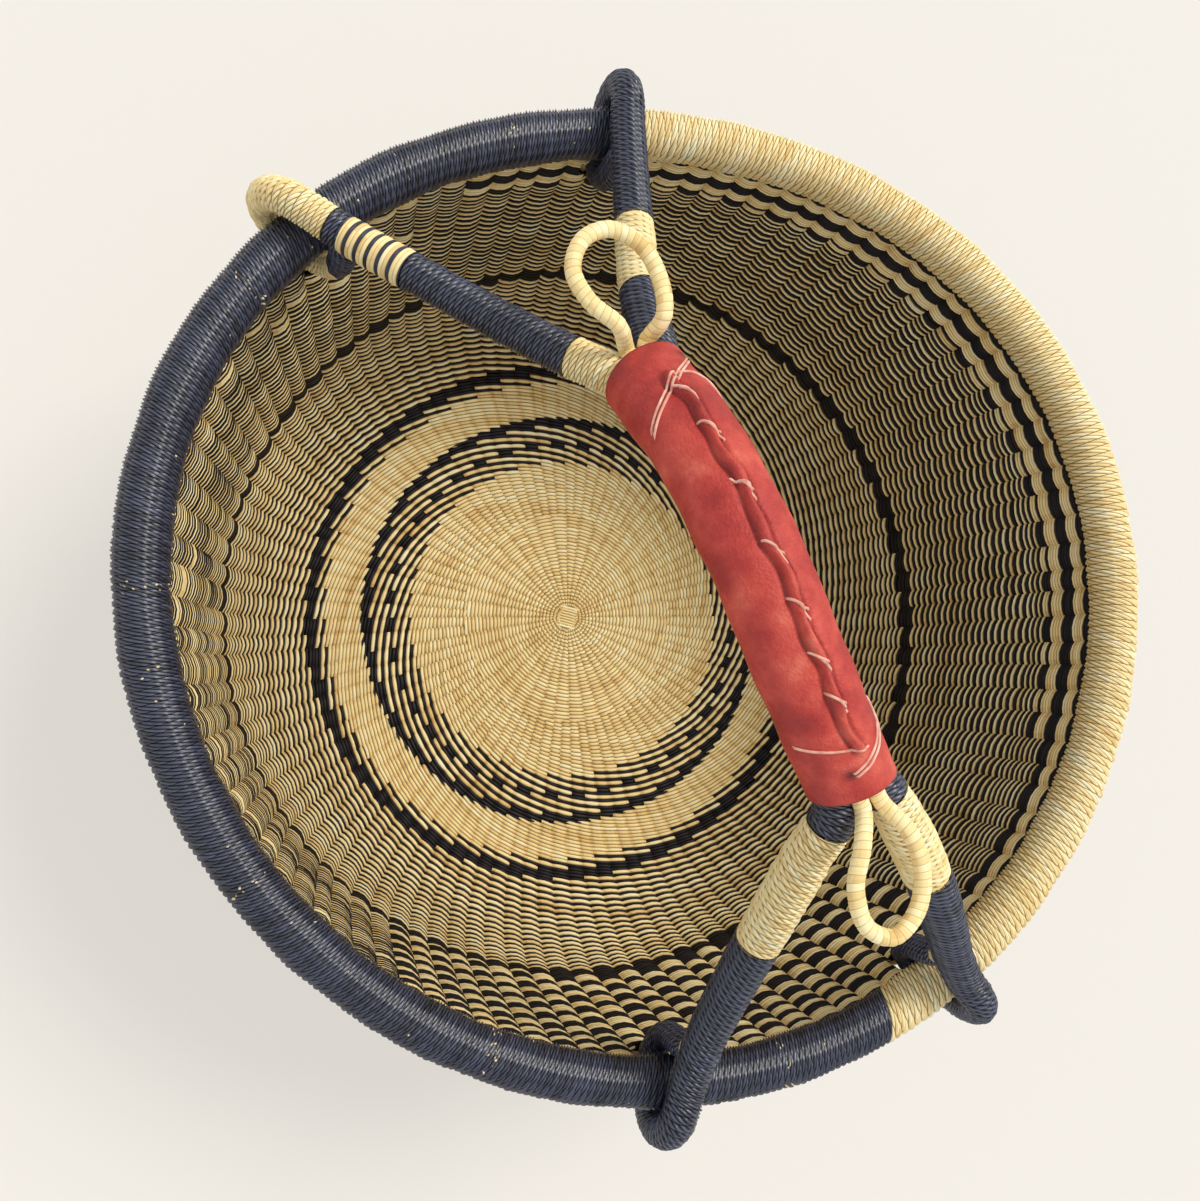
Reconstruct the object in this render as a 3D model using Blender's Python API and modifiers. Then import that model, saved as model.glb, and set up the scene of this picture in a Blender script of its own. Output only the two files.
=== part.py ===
"""Round twined straw basket with a cord-bound rim and an arched carrying handle.

Metres, +Z up. The origin is the middle of the flat base, on the ground.
The bowl is a sandwich of outer weave, upright stakes and inner weave, the inner weave in bands
of natural and black straw. The handle is two straw cores, each hooked round the rim at both
ends, bound with straw in sections and gathered in a laced leather grip. It rocks a little in
the slack of its four hooks.
"""
import math

import bmesh
import bpy
from mathutils import Matrix, Vector

GAP = 0.0003
CUT_OVERRUN = 0.006
WELD_DISTANCE = 0.00001
SMOOTH_ANGLE = math.radians(50)
UP = Vector((0, 0, 1))

# Rim and its hand-woven unevenness: an oval, three lobes, a wave in height and a leaning belly.
RIM_RADIUS = 0.200
RIM_HEIGHT = 0.190
RIM_CORE_RADIUS = 0.0076
RIM_WRAP_THICKNESS = 0.0024
RIM_OVAL = 0.0051
RIM_OVAL_TURN = math.radians(2.8)
RIM_LOBES = 0.0025
RIM_LOBES_TURN = math.radians(38.9)
RIM_WAVE = 0.0067
RIM_WAVE_TURN = math.radians(-12.9)
BELLY_LEAN = 0.0042
BELLY_TURN = math.radians(225)
NAVY_START = math.radians(97)
NAVY_END = math.radians(295)

# Bowl wall, from the middle of the base up to the rim.
ROUND_STEPS = 36
BASE_FLAT_RADIUS = 0.115
CORNER_REACH = 0.068
CORNER_RISE = 0.080
CORNER_SWEEP = math.radians(76)
CORNER_RINGS = 4
WALL_RINGS = 3
WEFT_THICKNESS = 0.0015
STAKE_THICKNESS = 0.0013
STAKE_WIDTH = 0.0030
STAKE_HUB_RADIUS = 0.028
WALL_THICKNESS = 2 * WEFT_THICKNESS + STAKE_THICKNESS + 2 * GAP

# Bands of the inner weave: widths on the base, then a line on the wall and the bands at the rim.
CENTRE_RADIUS = 0.086
DASHED_WIDTH = 0.025
PALE_WIDTH = 0.020
DARK_RING_WIDTH = 0.010
DASHED_RADIUS = CENTRE_RADIUS + DASHED_WIDTH
PALE_RADIUS = DASHED_RADIUS + PALE_WIDTH
DARK_RING_RADIUS = PALE_RADIUS + DARK_RING_WIDTH
WALL_LINE_HEIGHT = 0.0575
WALL_LINE_WIDTH = 0.0035
RIM_BANDS_DEPTH = 0.036
RIM_BANDS_HEIGHT = RIM_HEIGHT - RIM_BANDS_DEPTH

# Round tubes.
TUBE_SIDES = 8
FLAT_SHARE = math.cos(math.pi / TUBE_SIDES)
SMOOTH_STEP = 0.014
RIM_WRAP_RADIUS = RIM_CORE_RADIUS + (RIM_WRAP_THICKNESS + GAP) / FLAT_SHARE

# Handle: hooks round the rim, legs and grip.
HANDLE_RISE = 0.116
HOOK_SLACK = 0.0038
HOOK_SIDE_GAP = 0.00093
HOOK_STEPS = 12
TAIL_RADIUS = 0.0055
TAIL_GAP = 0.0004
HOLE_SIDE_CLEARANCE = 0.0016
HOLE_RISE_CLEARANCE = 0.0038
HOLE_SIDES = 12
LEG_WRAP_THICKNESS = 0.0014
LEG_WRAP_CLEARANCE = 0.0005
LEG_SHELL = (LEG_WRAP_THICKNESS + LEG_WRAP_CLEARANCE) / FLAT_SHARE
GRIP_CORE_RADIUS = 0.0054
GRIP_CORE_SPREAD = 0.0064
MOUTH_SPREAD = 0.0090
MOUTH_STEP = 0.0065
MOUTH_RADIUS = 0.0076

# The grip's middle line: across and along as shares of the rim radius, height of the rise.
GRIP_LINE_SHARES = (
    (-0.2000, 0.3200, 0.672),
    (-0.1500, 0.1650, 0.897),
    (-0.0875, -0.0125, 1.000),
    (-0.0050, -0.2000, 0.983),
    (0.0925, -0.3625, 0.888),
)
GRIP_HALF_WIDTH = 0.0155
GRIP_HALF_HEIGHT = 0.0140
GRIP_SIDES = 16
GRIP_FLAT_SHARE = math.cos(math.pi / GRIP_SIDES)
LEATHER_THICKNESS = 0.0016
GRIP_POCKET = 0.012
BORE_CLEARANCE = 0.0007
BORE_HALF_HEIGHT = 0.0080
SEAM_FOLD_RADIUS = 0.0018
SEAM_INSET = 0.020
LACE_RADIUS = 0.0007
LACE_STITCHES = 8
LACE_STEPS = 5
TIE_INSET = 0.0155
TIE_THICKNESS = 0.0010
TIE_WIDTH = 0.0020

# Each foot: its place on the rim, the grip end and side it comes from, the bound radius at the
# rim, half way and near the grip, its rise along the way, and its colours from tail to grip.
FEET = {
    "a1": {
        "angle": math.radians(138),
        "grip_end": 0,
        "side": -1,
        "radii": (0.0070, 0.0074, 0.0078),
        "rise_shares": ((0.16, 0.36), (0.36, 0.48), (0.65, 0.67), (0.87, 0.86)),
        "wrap_shares": (0.08, 0.13, 0.34, 0.87),
        "wraps": ("natural", "navy", "striped", "navy", "natural"),
    },
    "a2": {
        "angle": math.radians(97),
        "grip_end": 0,
        "side": 1,
        "radii": (0.0070, 0.0078, 0.0086),
        "rise_shares": ((0.17, 0.34), (0.41, 0.47), (0.67, 0.63), (0.87, 0.83)),
        "wrap_shares": (0.36, 0.62),
        "wraps": ("navy", "natural", "navy"),
    },
    "b1": {
        "angle": math.radians(267),
        "grip_end": 1,
        "side": -1,
        "radii": (0.0074, 0.0086, 0.0088),
        "rise_shares": ((0.19, 0.29), (0.42, 0.47), (0.64, 0.67), (0.86, 0.87)),
        "wrap_shares": (0.54, 0.90),
        "wraps": ("navy", "natural", "navy"),
    },
    "b2": {
        "angle": math.radians(304),
        "grip_end": 1,
        "side": 1,
        "radii": (0.0074, 0.0088, 0.0088),
        "rise_shares": ((0.17, 0.33), (0.36, 0.52), (0.60, 0.74), (0.86, 0.93)),
        "wrap_shares": (0.52, 0.94),
        "wraps": ("navy", "natural", "navy"),
    },
}

# Small end loops: outward and sideways shares of their length and half width, and their rise.
LOOP_RADIUS = 0.0029
LOOP_LENGTH = 0.049
LOOP_HALF_WIDTH = 0.014
LOOP_SPREAD = 0.0033
LOOP_LIFT = 0.0078
LOOP_END_GAP = 0.0009
LOOP_EXIT = 0.006
LOOP_STEP = 0.0075
SMALL_LOOPS = {
    "a": {
        "grip_end": 0,
        "rise_share": 0.25,
        "outline_shares": (
            (0.36, -0.45),
            (0.57, -0.87),
            (0.81, -0.95),
            (0.98, -0.38),
            (0.98, 0.33),
            (0.83, 0.86),
            (0.56, 1.00),
            (0.31, 0.72),
        ),
    },
    "b": {
        "grip_end": 1,
        "rise_share": 0.21,
        "outline_shares": (
            (0.34, -0.66),
            (0.59, -1.28),
            (0.84, -1.36),
            (0.97, -0.92),
            (0.92, -0.19),
            (0.74, 0.35),
            (0.43, 0.51),
        ),
    },
}

FINISHES = {
    "natural": ((0.66, 0.52, 0.30), 0.62),
    "striped": ((0.40, 0.33, 0.22), 0.60),
    "black": ((0.030, 0.026, 0.028), 0.50),
    "navy": ((0.035, 0.042, 0.085), 0.45),
    "leather": ((0.50, 0.075, 0.060), 0.55),
    "thong": ((0.78, 0.60, 0.50), 0.60),
}


def new_collection(name):
    group = bpy.data.collections.new(name)
    bpy.context.scene.collection.children.link(group)
    return group


for leftover in list(bpy.data.objects):
    bpy.data.objects.remove(leftover, do_unlink=True)
BASKET = new_collection("bolga_basket")
CUTTERS = new_collection("cutters")


def dress(thing, finish):
    """Give a sub-part its own material and put it in the basket's collection."""
    colour, roughness = FINISHES[finish]
    skin = bpy.data.materials.new(f"{thing.name}_{finish}")
    skin.use_nodes = True
    shader = skin.node_tree.nodes["Principled BSDF"]
    shader.inputs["Base Color"].default_value = (*colour, 1)
    shader.inputs["Roughness"].default_value = roughness
    shader.inputs["Metallic"].default_value = 0
    skin.diffuse_color = (*colour, 1)
    thing.data.materials.clear()
    thing.data.materials.append(skin)
    if thing.name not in BASKET.objects:
        BASKET.objects.link(thing)
    return thing


def keep_as_guide(thing):
    if thing.name not in CUTTERS.objects:
        CUTTERS.objects.link(thing)
    thing.hide_render = True
    thing.display_type = "WIRE"
    return thing


def boolean(body, other, operation):
    step = body.modifiers.new(f"{operation.lower()}_{other.name}", "BOOLEAN")
    step.operation = operation
    step.object = other


def warp(point):
    """The hand-woven unevenness: none at the base, and a belly that leans to one side low down."""
    angle = math.atan2(point.y, point.x)
    share = min(max(point.z / (RIM_HEIGHT - 2 * RIM_WRAP_RADIUS), 0), 1) ** 2
    swell = RIM_OVAL * math.cos(2 * (angle - RIM_OVAL_TURN))
    swell += RIM_LOBES * math.cos(3 * (angle - RIM_LOBES_TURN))
    lift = RIM_WAVE * math.cos(2 * (angle - RIM_WAVE_TURN))
    rise = min(max(point.z / RIM_HEIGHT, 0), 1)
    lean = 27 / 4 * rise * (1 - rise) ** 2 * BELLY_LEAN * math.cos(angle - BELLY_TURN)
    grow = 1 + (share * swell + lean) / RIM_RADIUS
    return Vector((point.x * grow, point.y * grow, point.z + share * lift))


def rim_corner(step):
    angle = 2 * math.pi * step / ROUND_STEPS
    return warp(Vector((RIM_RADIUS * math.cos(angle), RIM_RADIUS * math.sin(angle), RIM_HEIGHT)))


def rim_point(angle):
    """The rim's middle line at an angle, on the straight run between two of its corners."""
    place = angle * ROUND_STEPS / (2 * math.pi)
    step = math.floor(place)
    return rim_corner(step).lerp(rim_corner(step + 1), place - step)


def profile_rings():
    """Middle of the wall and outward normal at each ring, in (radius, height)."""
    rings = [(Vector((0, WALL_THICKNESS / 2)), Vector((0, -1)))]
    for ring in range(CORNER_RINGS + 1):
        turn = CORNER_SWEEP * ring / CORNER_RINGS
        reach = BASE_FLAT_RADIUS + CORNER_REACH * math.sin(turn)
        height = WALL_THICKNESS / 2 + CORNER_RISE * (1 - math.cos(turn))
        normal = Vector((CORNER_RISE * math.sin(turn), -CORNER_REACH * math.cos(turn)))
        rings.append((Vector((reach, height)), normal.normalized()))
    low = rings[-1][0]
    climb = Vector((RIM_RADIUS, RIM_HEIGHT)) - low
    normal = Vector((climb.y, -climb.x)).normalized()
    for ring in range(1, WALL_RINGS + 1):
        rings.append((low + climb * ring / WALL_RINGS, normal))
    return rings


RINGS = profile_rings()


def profile_point(place, offset):
    """A point at a place counted in rings, offset outwards from the middle of the wall."""
    ring = min(math.floor(place), len(RINGS) - 2)
    low, high = (middle + offset * normal for middle, normal in RINGS[ring : ring + 2])
    return low.lerp(high, place - ring)


def place_where(value, axis):
    """The place where the wall's middle line reaches a radius (axis 0) or a height (axis 1)."""
    for ring, (low, high) in enumerate(zip(RINGS, RINGS[1:])):
        if low[0][axis] <= value <= high[0][axis] and high[0][axis] > low[0][axis]:
            return ring + (value - low[0][axis]) / (high[0][axis] - low[0][axis])
    return len(RINGS) - 1


WALL_TOP = place_where(RIM_HEIGHT - RIM_CORE_RADIUS - GAP, 1)


def places_between(start, end):
    """The start, every ring between and the end."""
    near = WELD_DISTANCE / GAP
    return [start, *(r for r in range(len(RINGS)) if start + near < r < end - near), end]


def edge_points(start, end, offset):
    """One face of a layer, its inner joints drawn back by half a fitting gap."""
    points = [profile_point(place, offset) for place in places_between(start, end)]
    if start > 0:
        points[0] = points[0] + (points[1] - points[0]).normalized() * GAP / 2
    if end < WALL_TOP:
        points[-1] = points[-1] + (points[-2] - points[-1]).normalized() * GAP / 2
    return points


def spun_body(name, outline, closed):
    """An outline in (radius, height) turned about Z, with the basket's unevenness."""
    shape = bmesh.new()
    corners = [shape.verts.new((point.x, 0, point.y)) for point in outline]
    pairs = list(zip(corners, corners[1:]))
    if closed:
        pairs.append((corners[-1], corners[0]))
    edges = [shape.edges.new(pair) for pair in pairs]
    bmesh.ops.spin(
        shape,
        geom=corners + edges,
        axis=(0, 0, 1),
        cent=(0, 0, 0),
        steps=ROUND_STEPS,
        angle=2 * math.pi,
    )
    bmesh.ops.remove_doubles(shape, verts=shape.verts, dist=WELD_DISTANCE)
    for corner in shape.verts:
        corner.co = warp(corner.co)
    bmesh.ops.recalc_face_normals(shape, faces=shape.faces)
    mesh = bpy.data.meshes.new(name)
    shape.to_mesh(mesh)
    shape.free()
    mesh.shade_smooth()
    mesh.set_sharp_from_angle(angle=SMOOTH_ANGLE)
    return bpy.data.objects.new(name, mesh)


def weave_layer(name, start, end, inner, outer):
    """One layer of weave between two places on the wall, from one offset to another."""
    under = edge_points(start, end, outer)
    over = edge_points(start, end, inner)
    return spun_body(name, under + over[::-1], start > 0)


def tube(name, points, radii, cyclic=False, capped=True, span=None, section=None, upright=False):
    """A straight-sided curve through the points, as thick as the radii or a section."""
    path = bpy.data.curves.new(name, "CURVE")
    path.dimensions = "3D"
    path.twist_mode = "Z_UP" if upright else "MINIMUM"
    path.use_fill_caps = capped
    if section is None:
        path.bevel_depth = max(radii)
        path.bevel_resolution = TUBE_SIDES // 2 - 2
    else:
        path.bevel_mode = "OBJECT"
        path.bevel_object = section
    add_run(path, points, [radius / max(radii) for radius in radii], cyclic)
    if span is not None:
        path.bevel_factor_mapping_start = "RESOLUTION"
        path.bevel_factor_mapping_end = "RESOLUTION"
        path.bevel_factor_start, path.bevel_factor_end = span
    return bpy.data.objects.new(name, path)


def add_run(path, points, thick_shares, cyclic=False):
    run = path.splines.new("POLY")
    run.points.add(len(points) - 1)
    for corner, point, share in zip(run.points, points, thick_shares):
        corner.co = (*point, 1)
        corner.radius = share
    run.use_cyclic_u = cyclic


def as_mesh(thing):
    """The curve's surface as a welded mesh object, in the curve's place."""
    name = thing.name
    CUTTERS.objects.link(thing)
    bpy.context.view_layer.update()
    graph = bpy.context.evaluated_depsgraph_get()
    mesh = bpy.data.meshes.new_from_object(thing.evaluated_get(graph))
    place = thing.matrix_world.copy()
    bpy.data.objects.remove(thing, do_unlink=True)
    shape = bmesh.new()
    shape.from_mesh(mesh)
    bmesh.ops.remove_doubles(shape, verts=shape.verts, dist=WELD_DISTANCE)
    shape.to_mesh(mesh)
    shape.free()
    mesh.name = name
    mesh.shade_smooth()
    mesh.set_sharp_from_angle(angle=SMOOTH_ANGLE)
    body = bpy.data.objects.new(name, mesh)
    body.matrix_world = place
    return body


def hollow(body, thickness):
    """Give an open tube a wall inside its surface."""
    wall = body.modifiers.new("wall", "SOLIDIFY")
    wall.thickness = thickness
    wall.offset = -1
    wall.use_even_offset = True
    return body


def flat_section(name, points):
    """A closed flat outline that a curve can carry along itself."""
    path = bpy.data.curves.new(name, "CURVE")
    path.dimensions = "2D"
    path.fill_mode = "NONE"
    add_run(path, [(*point, 0) for point in points], [1] * len(points), cyclic=True)
    return keep_as_guide(bpy.data.objects.new(name, path))


def ellipse_section(name, half_width, half_height):
    turns = [-2 * math.pi * step / GRIP_SIDES for step in range(GRIP_SIDES)]
    points = [(half_width * math.cos(turn), half_height * math.sin(turn)) for turn in turns]
    return flat_section(name, points)


def smooth_through(before, points, after, step_length=SMOOTH_STEP):
    """A smooth curve through the points in short steps, and the place of each point on it."""
    chain = [before, *points, after]
    slopes = []
    for a, b, c in zip(chain, chain[1:], chain[2:]):
        last, following = (b - a).length, (c - b).length
        slope = (b - a) * following / last + (c - b) * last / following
        slopes.append(slope / (last + following))
    curve, places = [], []
    for here, there, start, end in zip(points, points[1:], slopes, slopes[1:]):
        length = (there - here).length
        cuts = max(1, round(length / step_length))
        places.append(len(curve))
        for step in range(cuts):
            t = step / cuts
            blend = t * t * (3 - 2 * t)
            pull = length * ((t - 2 * t**2 + t**3) * start + (t**3 - t**2) * end)
            curve.append(here.lerp(there, blend) + pull)
    places.append(len(curve))
    return [*curve, points[-1]], places


def spot_at(points, distance):
    """The place along a run of points, in points, at a distance from its start."""
    for step, (here, there) in enumerate(zip(points, points[1:])):
        length = (there - here).length
        if distance <= length:
            return step + distance / length
        distance -= length
    return len(points) - 1


def point_at(points, spot):
    step = min(math.floor(spot), len(points) - 2)
    return points[step].lerp(points[step + 1], spot - step)


def run_length(points):
    return sum((there - here).length for here, there in zip(points, points[1:]))


# Bowl: outer weave, stakes and inner weave.
OUTER = STAKE_THICKNESS / 2 + GAP + WEFT_THICKNESS
INNER = -OUTER
STAKE_CLEAR = STAKE_THICKNESS / 2 + GAP

outer_weave = weave_layer("outer_weave", 0, WALL_TOP, STAKE_CLEAR, OUTER)
dress(outer_weave, "natural")

BAND_ENDS = (
    ("weave_centre_natural", place_where(CENTRE_RADIUS, 0), "natural"),
    ("weave_band_dashed", place_where(DASHED_RADIUS, 0), "striped"),
    ("weave_band_natural", place_where(PALE_RADIUS, 0), "natural"),
    ("weave_ring_black", place_where(DARK_RING_RADIUS, 0), "black"),
    ("weave_corner_striped", place_where(WALL_LINE_HEIGHT, 1), "striped"),
    ("weave_wall_line", place_where(WALL_LINE_HEIGHT + WALL_LINE_WIDTH, 1), "black"),
    ("weave_wall_striped", place_where(RIM_BANDS_HEIGHT, 1), "striped"),
    ("weave_rim_bands", WALL_TOP, "natural"),
)
bands = {}
band_start = 0
for band_name, band_end, band_finish in BAND_ENDS:
    band = weave_layer(band_name, band_start, band_end, INNER, -STAKE_CLEAR)
    bands[band_name] = dress(band, band_finish)
    band_start = band_end


# Grip line, with its two ends and the level direction across it.
GRIP_LINE = [
    Vector((x * RIM_RADIUS, y * RIM_RADIUS, RIM_HEIGHT + z * HANDLE_RISE))
    for x, y, z in GRIP_LINE_SHARES
]
GRIP_SIDE = UP.cross(GRIP_LINE[-1] - GRIP_LINE[0]).normalized()
GRIP_ENDS = (
    (GRIP_LINE[0], (GRIP_LINE[0] - GRIP_LINE[1]).normalized()),
    (GRIP_LINE[-1], (GRIP_LINE[-1] - GRIP_LINE[-2]).normalized()),
)
grip_route, _ = smooth_through(
    2 * GRIP_LINE[0] - GRIP_LINE[1],
    GRIP_LINE,
    2 * GRIP_LINE[-1] - GRIP_LINE[-2],
)
GRIP_LENGTH = run_length(grip_route)


def mouth_point(foot):
    tip, outward = GRIP_ENDS[foot["grip_end"]]
    return tip + MOUTH_STEP * outward + foot["side"] * MOUTH_SPREAD * GRIP_SIDE


def foot_frame(foot):
    """The rim's middle under a foot, the level way from it to the grip and its length."""
    low = rim_point(foot["angle"])
    away = mouth_point(foot) - low
    away.z = 0
    return low, away.normalized(), away.length


def bound_radius(foot, share):
    """The leg's bound radius at a share of its way from the rim to the grip."""
    steps = (0, 0.5, 0.8, 1)
    sizes = (*foot["radii"], MOUTH_RADIUS)
    for start, end, low, high in zip(steps, steps[1:], sizes, sizes[1:]):
        if share <= end:
            return low + (high - low) * (share - start) / (end - start)
    return MOUTH_RADIUS


def hook_radius(foot, share):
    return TAIL_RADIUS + (foot["radii"][0] - TAIL_RADIUS) * share


def hook_route(foot, tail_top):
    """Tail, then round the rim from its inner side under, outside and over: points and radii."""
    low, along, _ = foot_frame(foot)
    points, radii = [], []
    for height in (tail_top, tail_top / 2):
        reach = RIM_WRAP_RADIUS + HOOK_SIDE_GAP + TAIL_RADIUS
        points.append(low + reach * along + height * UP)
        radii.append(TAIL_RADIUS)
    for step in range(HOOK_STEPS + 1):
        share = step / HOOK_STEPS
        turn = share * 3 * math.pi / 2
        radius = hook_radius(foot, share)
        across = (RIM_WRAP_RADIUS + HOOK_SIDE_GAP + radius) * math.cos(turn)
        height = (RIM_WRAP_RADIUS + HOOK_SLACK + radius) * math.sin(turn)
        points.append(low + across * along - height * UP)
        radii.append(radius)
    return points, radii


def leg_controls(foot):
    low, along, length = foot_frame(foot)
    rise = mouth_point(foot).z - low.z
    return [low + x * length * along + z * rise * UP for x, z in foot["rise_shares"]]


def tail_top_under(foot, leg):
    """How far above the rim's middle the tail can rise under its own leg."""
    low, along, length = foot_frame(foot)
    near = RIM_WRAP_RADIUS + HOOK_SIDE_GAP
    for here, there in zip(leg, leg[1:]):
        start, end = ((point - low).dot(along) for point in (here, there))
        if start <= near <= end:
            slope = (there - here).normalized()
            middle = here.lerp(there, (near - start) / (end - start))
            under = bound_radius(foot, near / length) / slope.dot(along)
            return middle.z - low.z - under - TAIL_GAP
    return RIM_WRAP_RADIUS


def core_route(first, last):
    """The whole way of one handle core, with its bound radii and its key places."""
    first_hook, _ = hook_route(first, RIM_WRAP_RADIUS)
    last_hook, _ = hook_route(last, RIM_WRAP_RADIUS)
    grip = [point + first["side"] * GRIP_CORE_SPREAD * GRIP_SIDE for point in grip_route]
    controls = [
        first_hook[-1],
        *leg_controls(first),
        mouth_point(first),
        *grip,
        mouth_point(last),
        *reversed(leg_controls(last)),
        last_hook[-1],
    ]
    middle, places = smooth_through(first_hook[-2], controls, last_hook[-2])
    first_mouth = places[len(first["rise_shares"]) + 1]
    last_mouth = places[-len(last["rise_shares"]) - 2]
    first_hook, first_radii = hook_route(first, tail_top_under(first, middle))
    last_hook, last_radii = hook_route(last, tail_top_under(last, middle[::-1]))
    radii = []
    for step, point in enumerate(middle):
        if step <= first_mouth:
            low, along, length = foot_frame(first)
            radii.append(bound_radius(first, (point - low).dot(along) / length))
        elif step >= last_mouth:
            low, along, length = foot_frame(last)
            radii.append(bound_radius(last, (point - low).dot(along) / length))
        else:
            radii.append(GRIP_CORE_RADIUS + LEG_SHELL)
    start = len(first_hook) - 1
    points = first_hook[:-1] + middle + last_hook[-2::-1]
    radii = first_radii[:-1] + radii + last_radii[-2::-1]
    ends = {
        "first": (start, start + first_mouth),
        "last": (start + len(middle) - 1, start + last_mouth),
    }
    return points, radii, ends


def place_sleeves(foot_name, points, radii, crest, mouth):
    """The straw bindings of one foot, end to end from the tail to the grip."""
    foot = FEET[foot_name]
    forward = mouth > crest
    route = points if forward else points[::-1]
    last = len(points) - 1
    crest, mouth = (crest, mouth) if forward else (last - crest, last - mouth)
    before = run_length(route[: crest + 1])
    length = run_length(route[crest : mouth + 1])
    joints = [0, *(before + share * length for share in foot["wrap_shares"]), before + length]
    for number, finish in enumerate(foot["wraps"]):
        start = joints[number] + (GAP / 2 if number else 0)
        end = joints[number + 1] - GAP / 2
        span = [spot_at(route, distance) / last for distance in (start, end)]
        if not forward:
            span = [1 - span[1], 1 - span[0]]
        name = f"wrap_{foot_name}_{number + 1}_{finish}"
        sleeve = as_mesh(tube(name, points, radii, capped=False, span=span))
        yield dress(hollow(sleeve, LEG_WRAP_THICKNESS), finish)


# Holes under the rim that let the hooks through the wall.
for foot_name, foot in FEET.items():
    low, along, _ = foot_frame(foot)
    across = UP.cross(along)
    radius = TAIL_RADIUS + (foot["radii"][0] - TAIL_RADIUS) / 3
    shape = bmesh.new()
    bmesh.ops.create_cone(
        shape,
        cap_ends=True,
        segments=HOLE_SIDES,
        radius1=1,
        radius2=1,
        depth=2,
    )
    size = Matrix.Diagonal(
        (
            (radius + HOLE_RISE_CLEARANCE) / math.cos(math.pi / HOLE_SIDES),
            (radius + HOLE_SIDE_CLEARANCE) / math.cos(math.pi / HOLE_SIDES),
            WALL_THICKNESS + CUT_OVERRUN,
        )
    )
    turn = Matrix((UP, across, along)).transposed()
    bmesh.ops.transform(shape, matrix=(turn @ size).to_4x4(), verts=shape.verts)
    bmesh.ops.recalc_face_normals(shape, faces=shape.faces)
    mesh = bpy.data.meshes.new(f"hole_{foot_name}")
    shape.to_mesh(mesh)
    shape.free()
    hole = keep_as_guide(bpy.data.objects.new(f"hole_{foot_name}", mesh))
    hole.location = low - (RIM_WRAP_RADIUS + HOOK_SLACK + radius) * UP
    foot["hole_drop"] = low.z - hole.location.z + radius + HOLE_RISE_CLEARANCE + CUT_OVERRUN / 2
    foot["hole_reach"] = radius + HOLE_SIDE_CLEARANCE + STAKE_WIDTH
    for body in (outer_weave, bands["weave_rim_bands"]):
        boolean(body, hole, "DIFFERENCE")

# Stakes: they spread from the crossed strands at the start of the weave up to the rim; one that
# would meet a hole stops under it.
half = (STAKE_WIDTH / 2, STAKE_THICKNESS / 2)
strip = flat_section(
    "stake_section", [(x * half[0], y * half[1]) for x, y in ((-1, -1), (-1, 1), (1, 1), (1, -1))]
)
stakes = bpy.data.curves.new("stake_fan", "CURVE")
stakes.dimensions = "3D"
stakes.twist_mode = "Z_UP"
stakes.use_fill_caps = True
stakes.bevel_mode = "OBJECT"
stakes.bevel_object = strip
stake_start = place_where(STAKE_HUB_RADIUS - STAKE_WIDTH, 0)
for step in range(ROUND_STEPS):
    angle = 2 * math.pi * step / ROUND_STEPS
    end = WALL_TOP
    for foot in FEET.values():
        if abs(angle - foot["angle"]) * RIM_RADIUS < foot["hole_reach"]:
            end = place_where(RIM_HEIGHT - foot["hole_drop"], 1)
    run = [profile_point(place, 0) for place in places_between(stake_start, end)]
    path = [Vector((p.x * math.cos(angle), p.x * math.sin(angle), p.y)) for p in run]
    add_run(stakes, [warp(point) for point in path], [1] * len(path))
fan = as_mesh(bpy.data.objects.new("stake_fan", stakes))
keep_as_guide(fan)
shape = bmesh.new()
bmesh.ops.create_cone(
    shape,
    cap_ends=True,
    segments=ROUND_STEPS,
    radius1=STAKE_HUB_RADIUS,
    radius2=STAKE_HUB_RADIUS,
    depth=STAKE_THICKNESS,
)
mesh = bpy.data.meshes.new("stakes")
shape.to_mesh(mesh)
shape.free()
hub = bpy.data.objects.new("stakes", mesh)
hub.location.z = WALL_THICKNESS / 2
boolean(hub, fan, "UNION")
dress(hub, "natural")

# Rim: a straw core bound with navy and natural straw round the wall's top edge.
slot_bottom = place_where(RIM_HEIGHT - RIM_WRAP_RADIUS - CUT_OVERRUN, 1)
slot_top = place_where(RIM_HEIGHT - RIM_CORE_RADIUS / 2, 1)
slot_places = places_between(slot_bottom, slot_top)
slot = spun_body(
    "rim_slot",
    [profile_point(place, OUTER + GAP) for place in slot_places]
    + [profile_point(place, INNER - GAP) for place in slot_places[::-1]],
    True,
)
keep_as_guide(slot)
rim_corners = [rim_corner(step) for step in range(ROUND_STEPS)]
rim_core = tube("rim_core", rim_corners, [RIM_CORE_RADIUS] * ROUND_STEPS, True, upright=True)
dress(as_mesh(rim_core), "natural")


def rim_arc(start, end):
    """The rim's middle line between two angles, with a fitting gap shared at each end."""
    start += GAP / (2 * RIM_RADIUS)
    end -= GAP / (2 * RIM_RADIUS)
    step_angle = 2 * math.pi / ROUND_STEPS
    first = math.floor(start / step_angle) + 1
    last = math.ceil(end / step_angle) - 1
    return [rim_point(start), *(rim_corner(step) for step in range(first, last + 1)), rim_point(end)]


RIM_ARCS = (
    ("rim_wrap_navy", NAVY_START, NAVY_END, "navy"),
    ("rim_wrap_natural", NAVY_END, NAVY_START + 2 * math.pi, "natural"),
)
for wrap_name, start, end, finish in RIM_ARCS:
    arc = rim_arc(start, end)
    wrap = tube(wrap_name, arc, [RIM_WRAP_RADIUS] * len(arc), capped=False, upright=True)
    wrap = hollow(as_mesh(wrap), RIM_WRAP_THICKNESS)
    boolean(wrap, slot, "DIFFERENCE")
    dress(wrap, finish)

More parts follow.
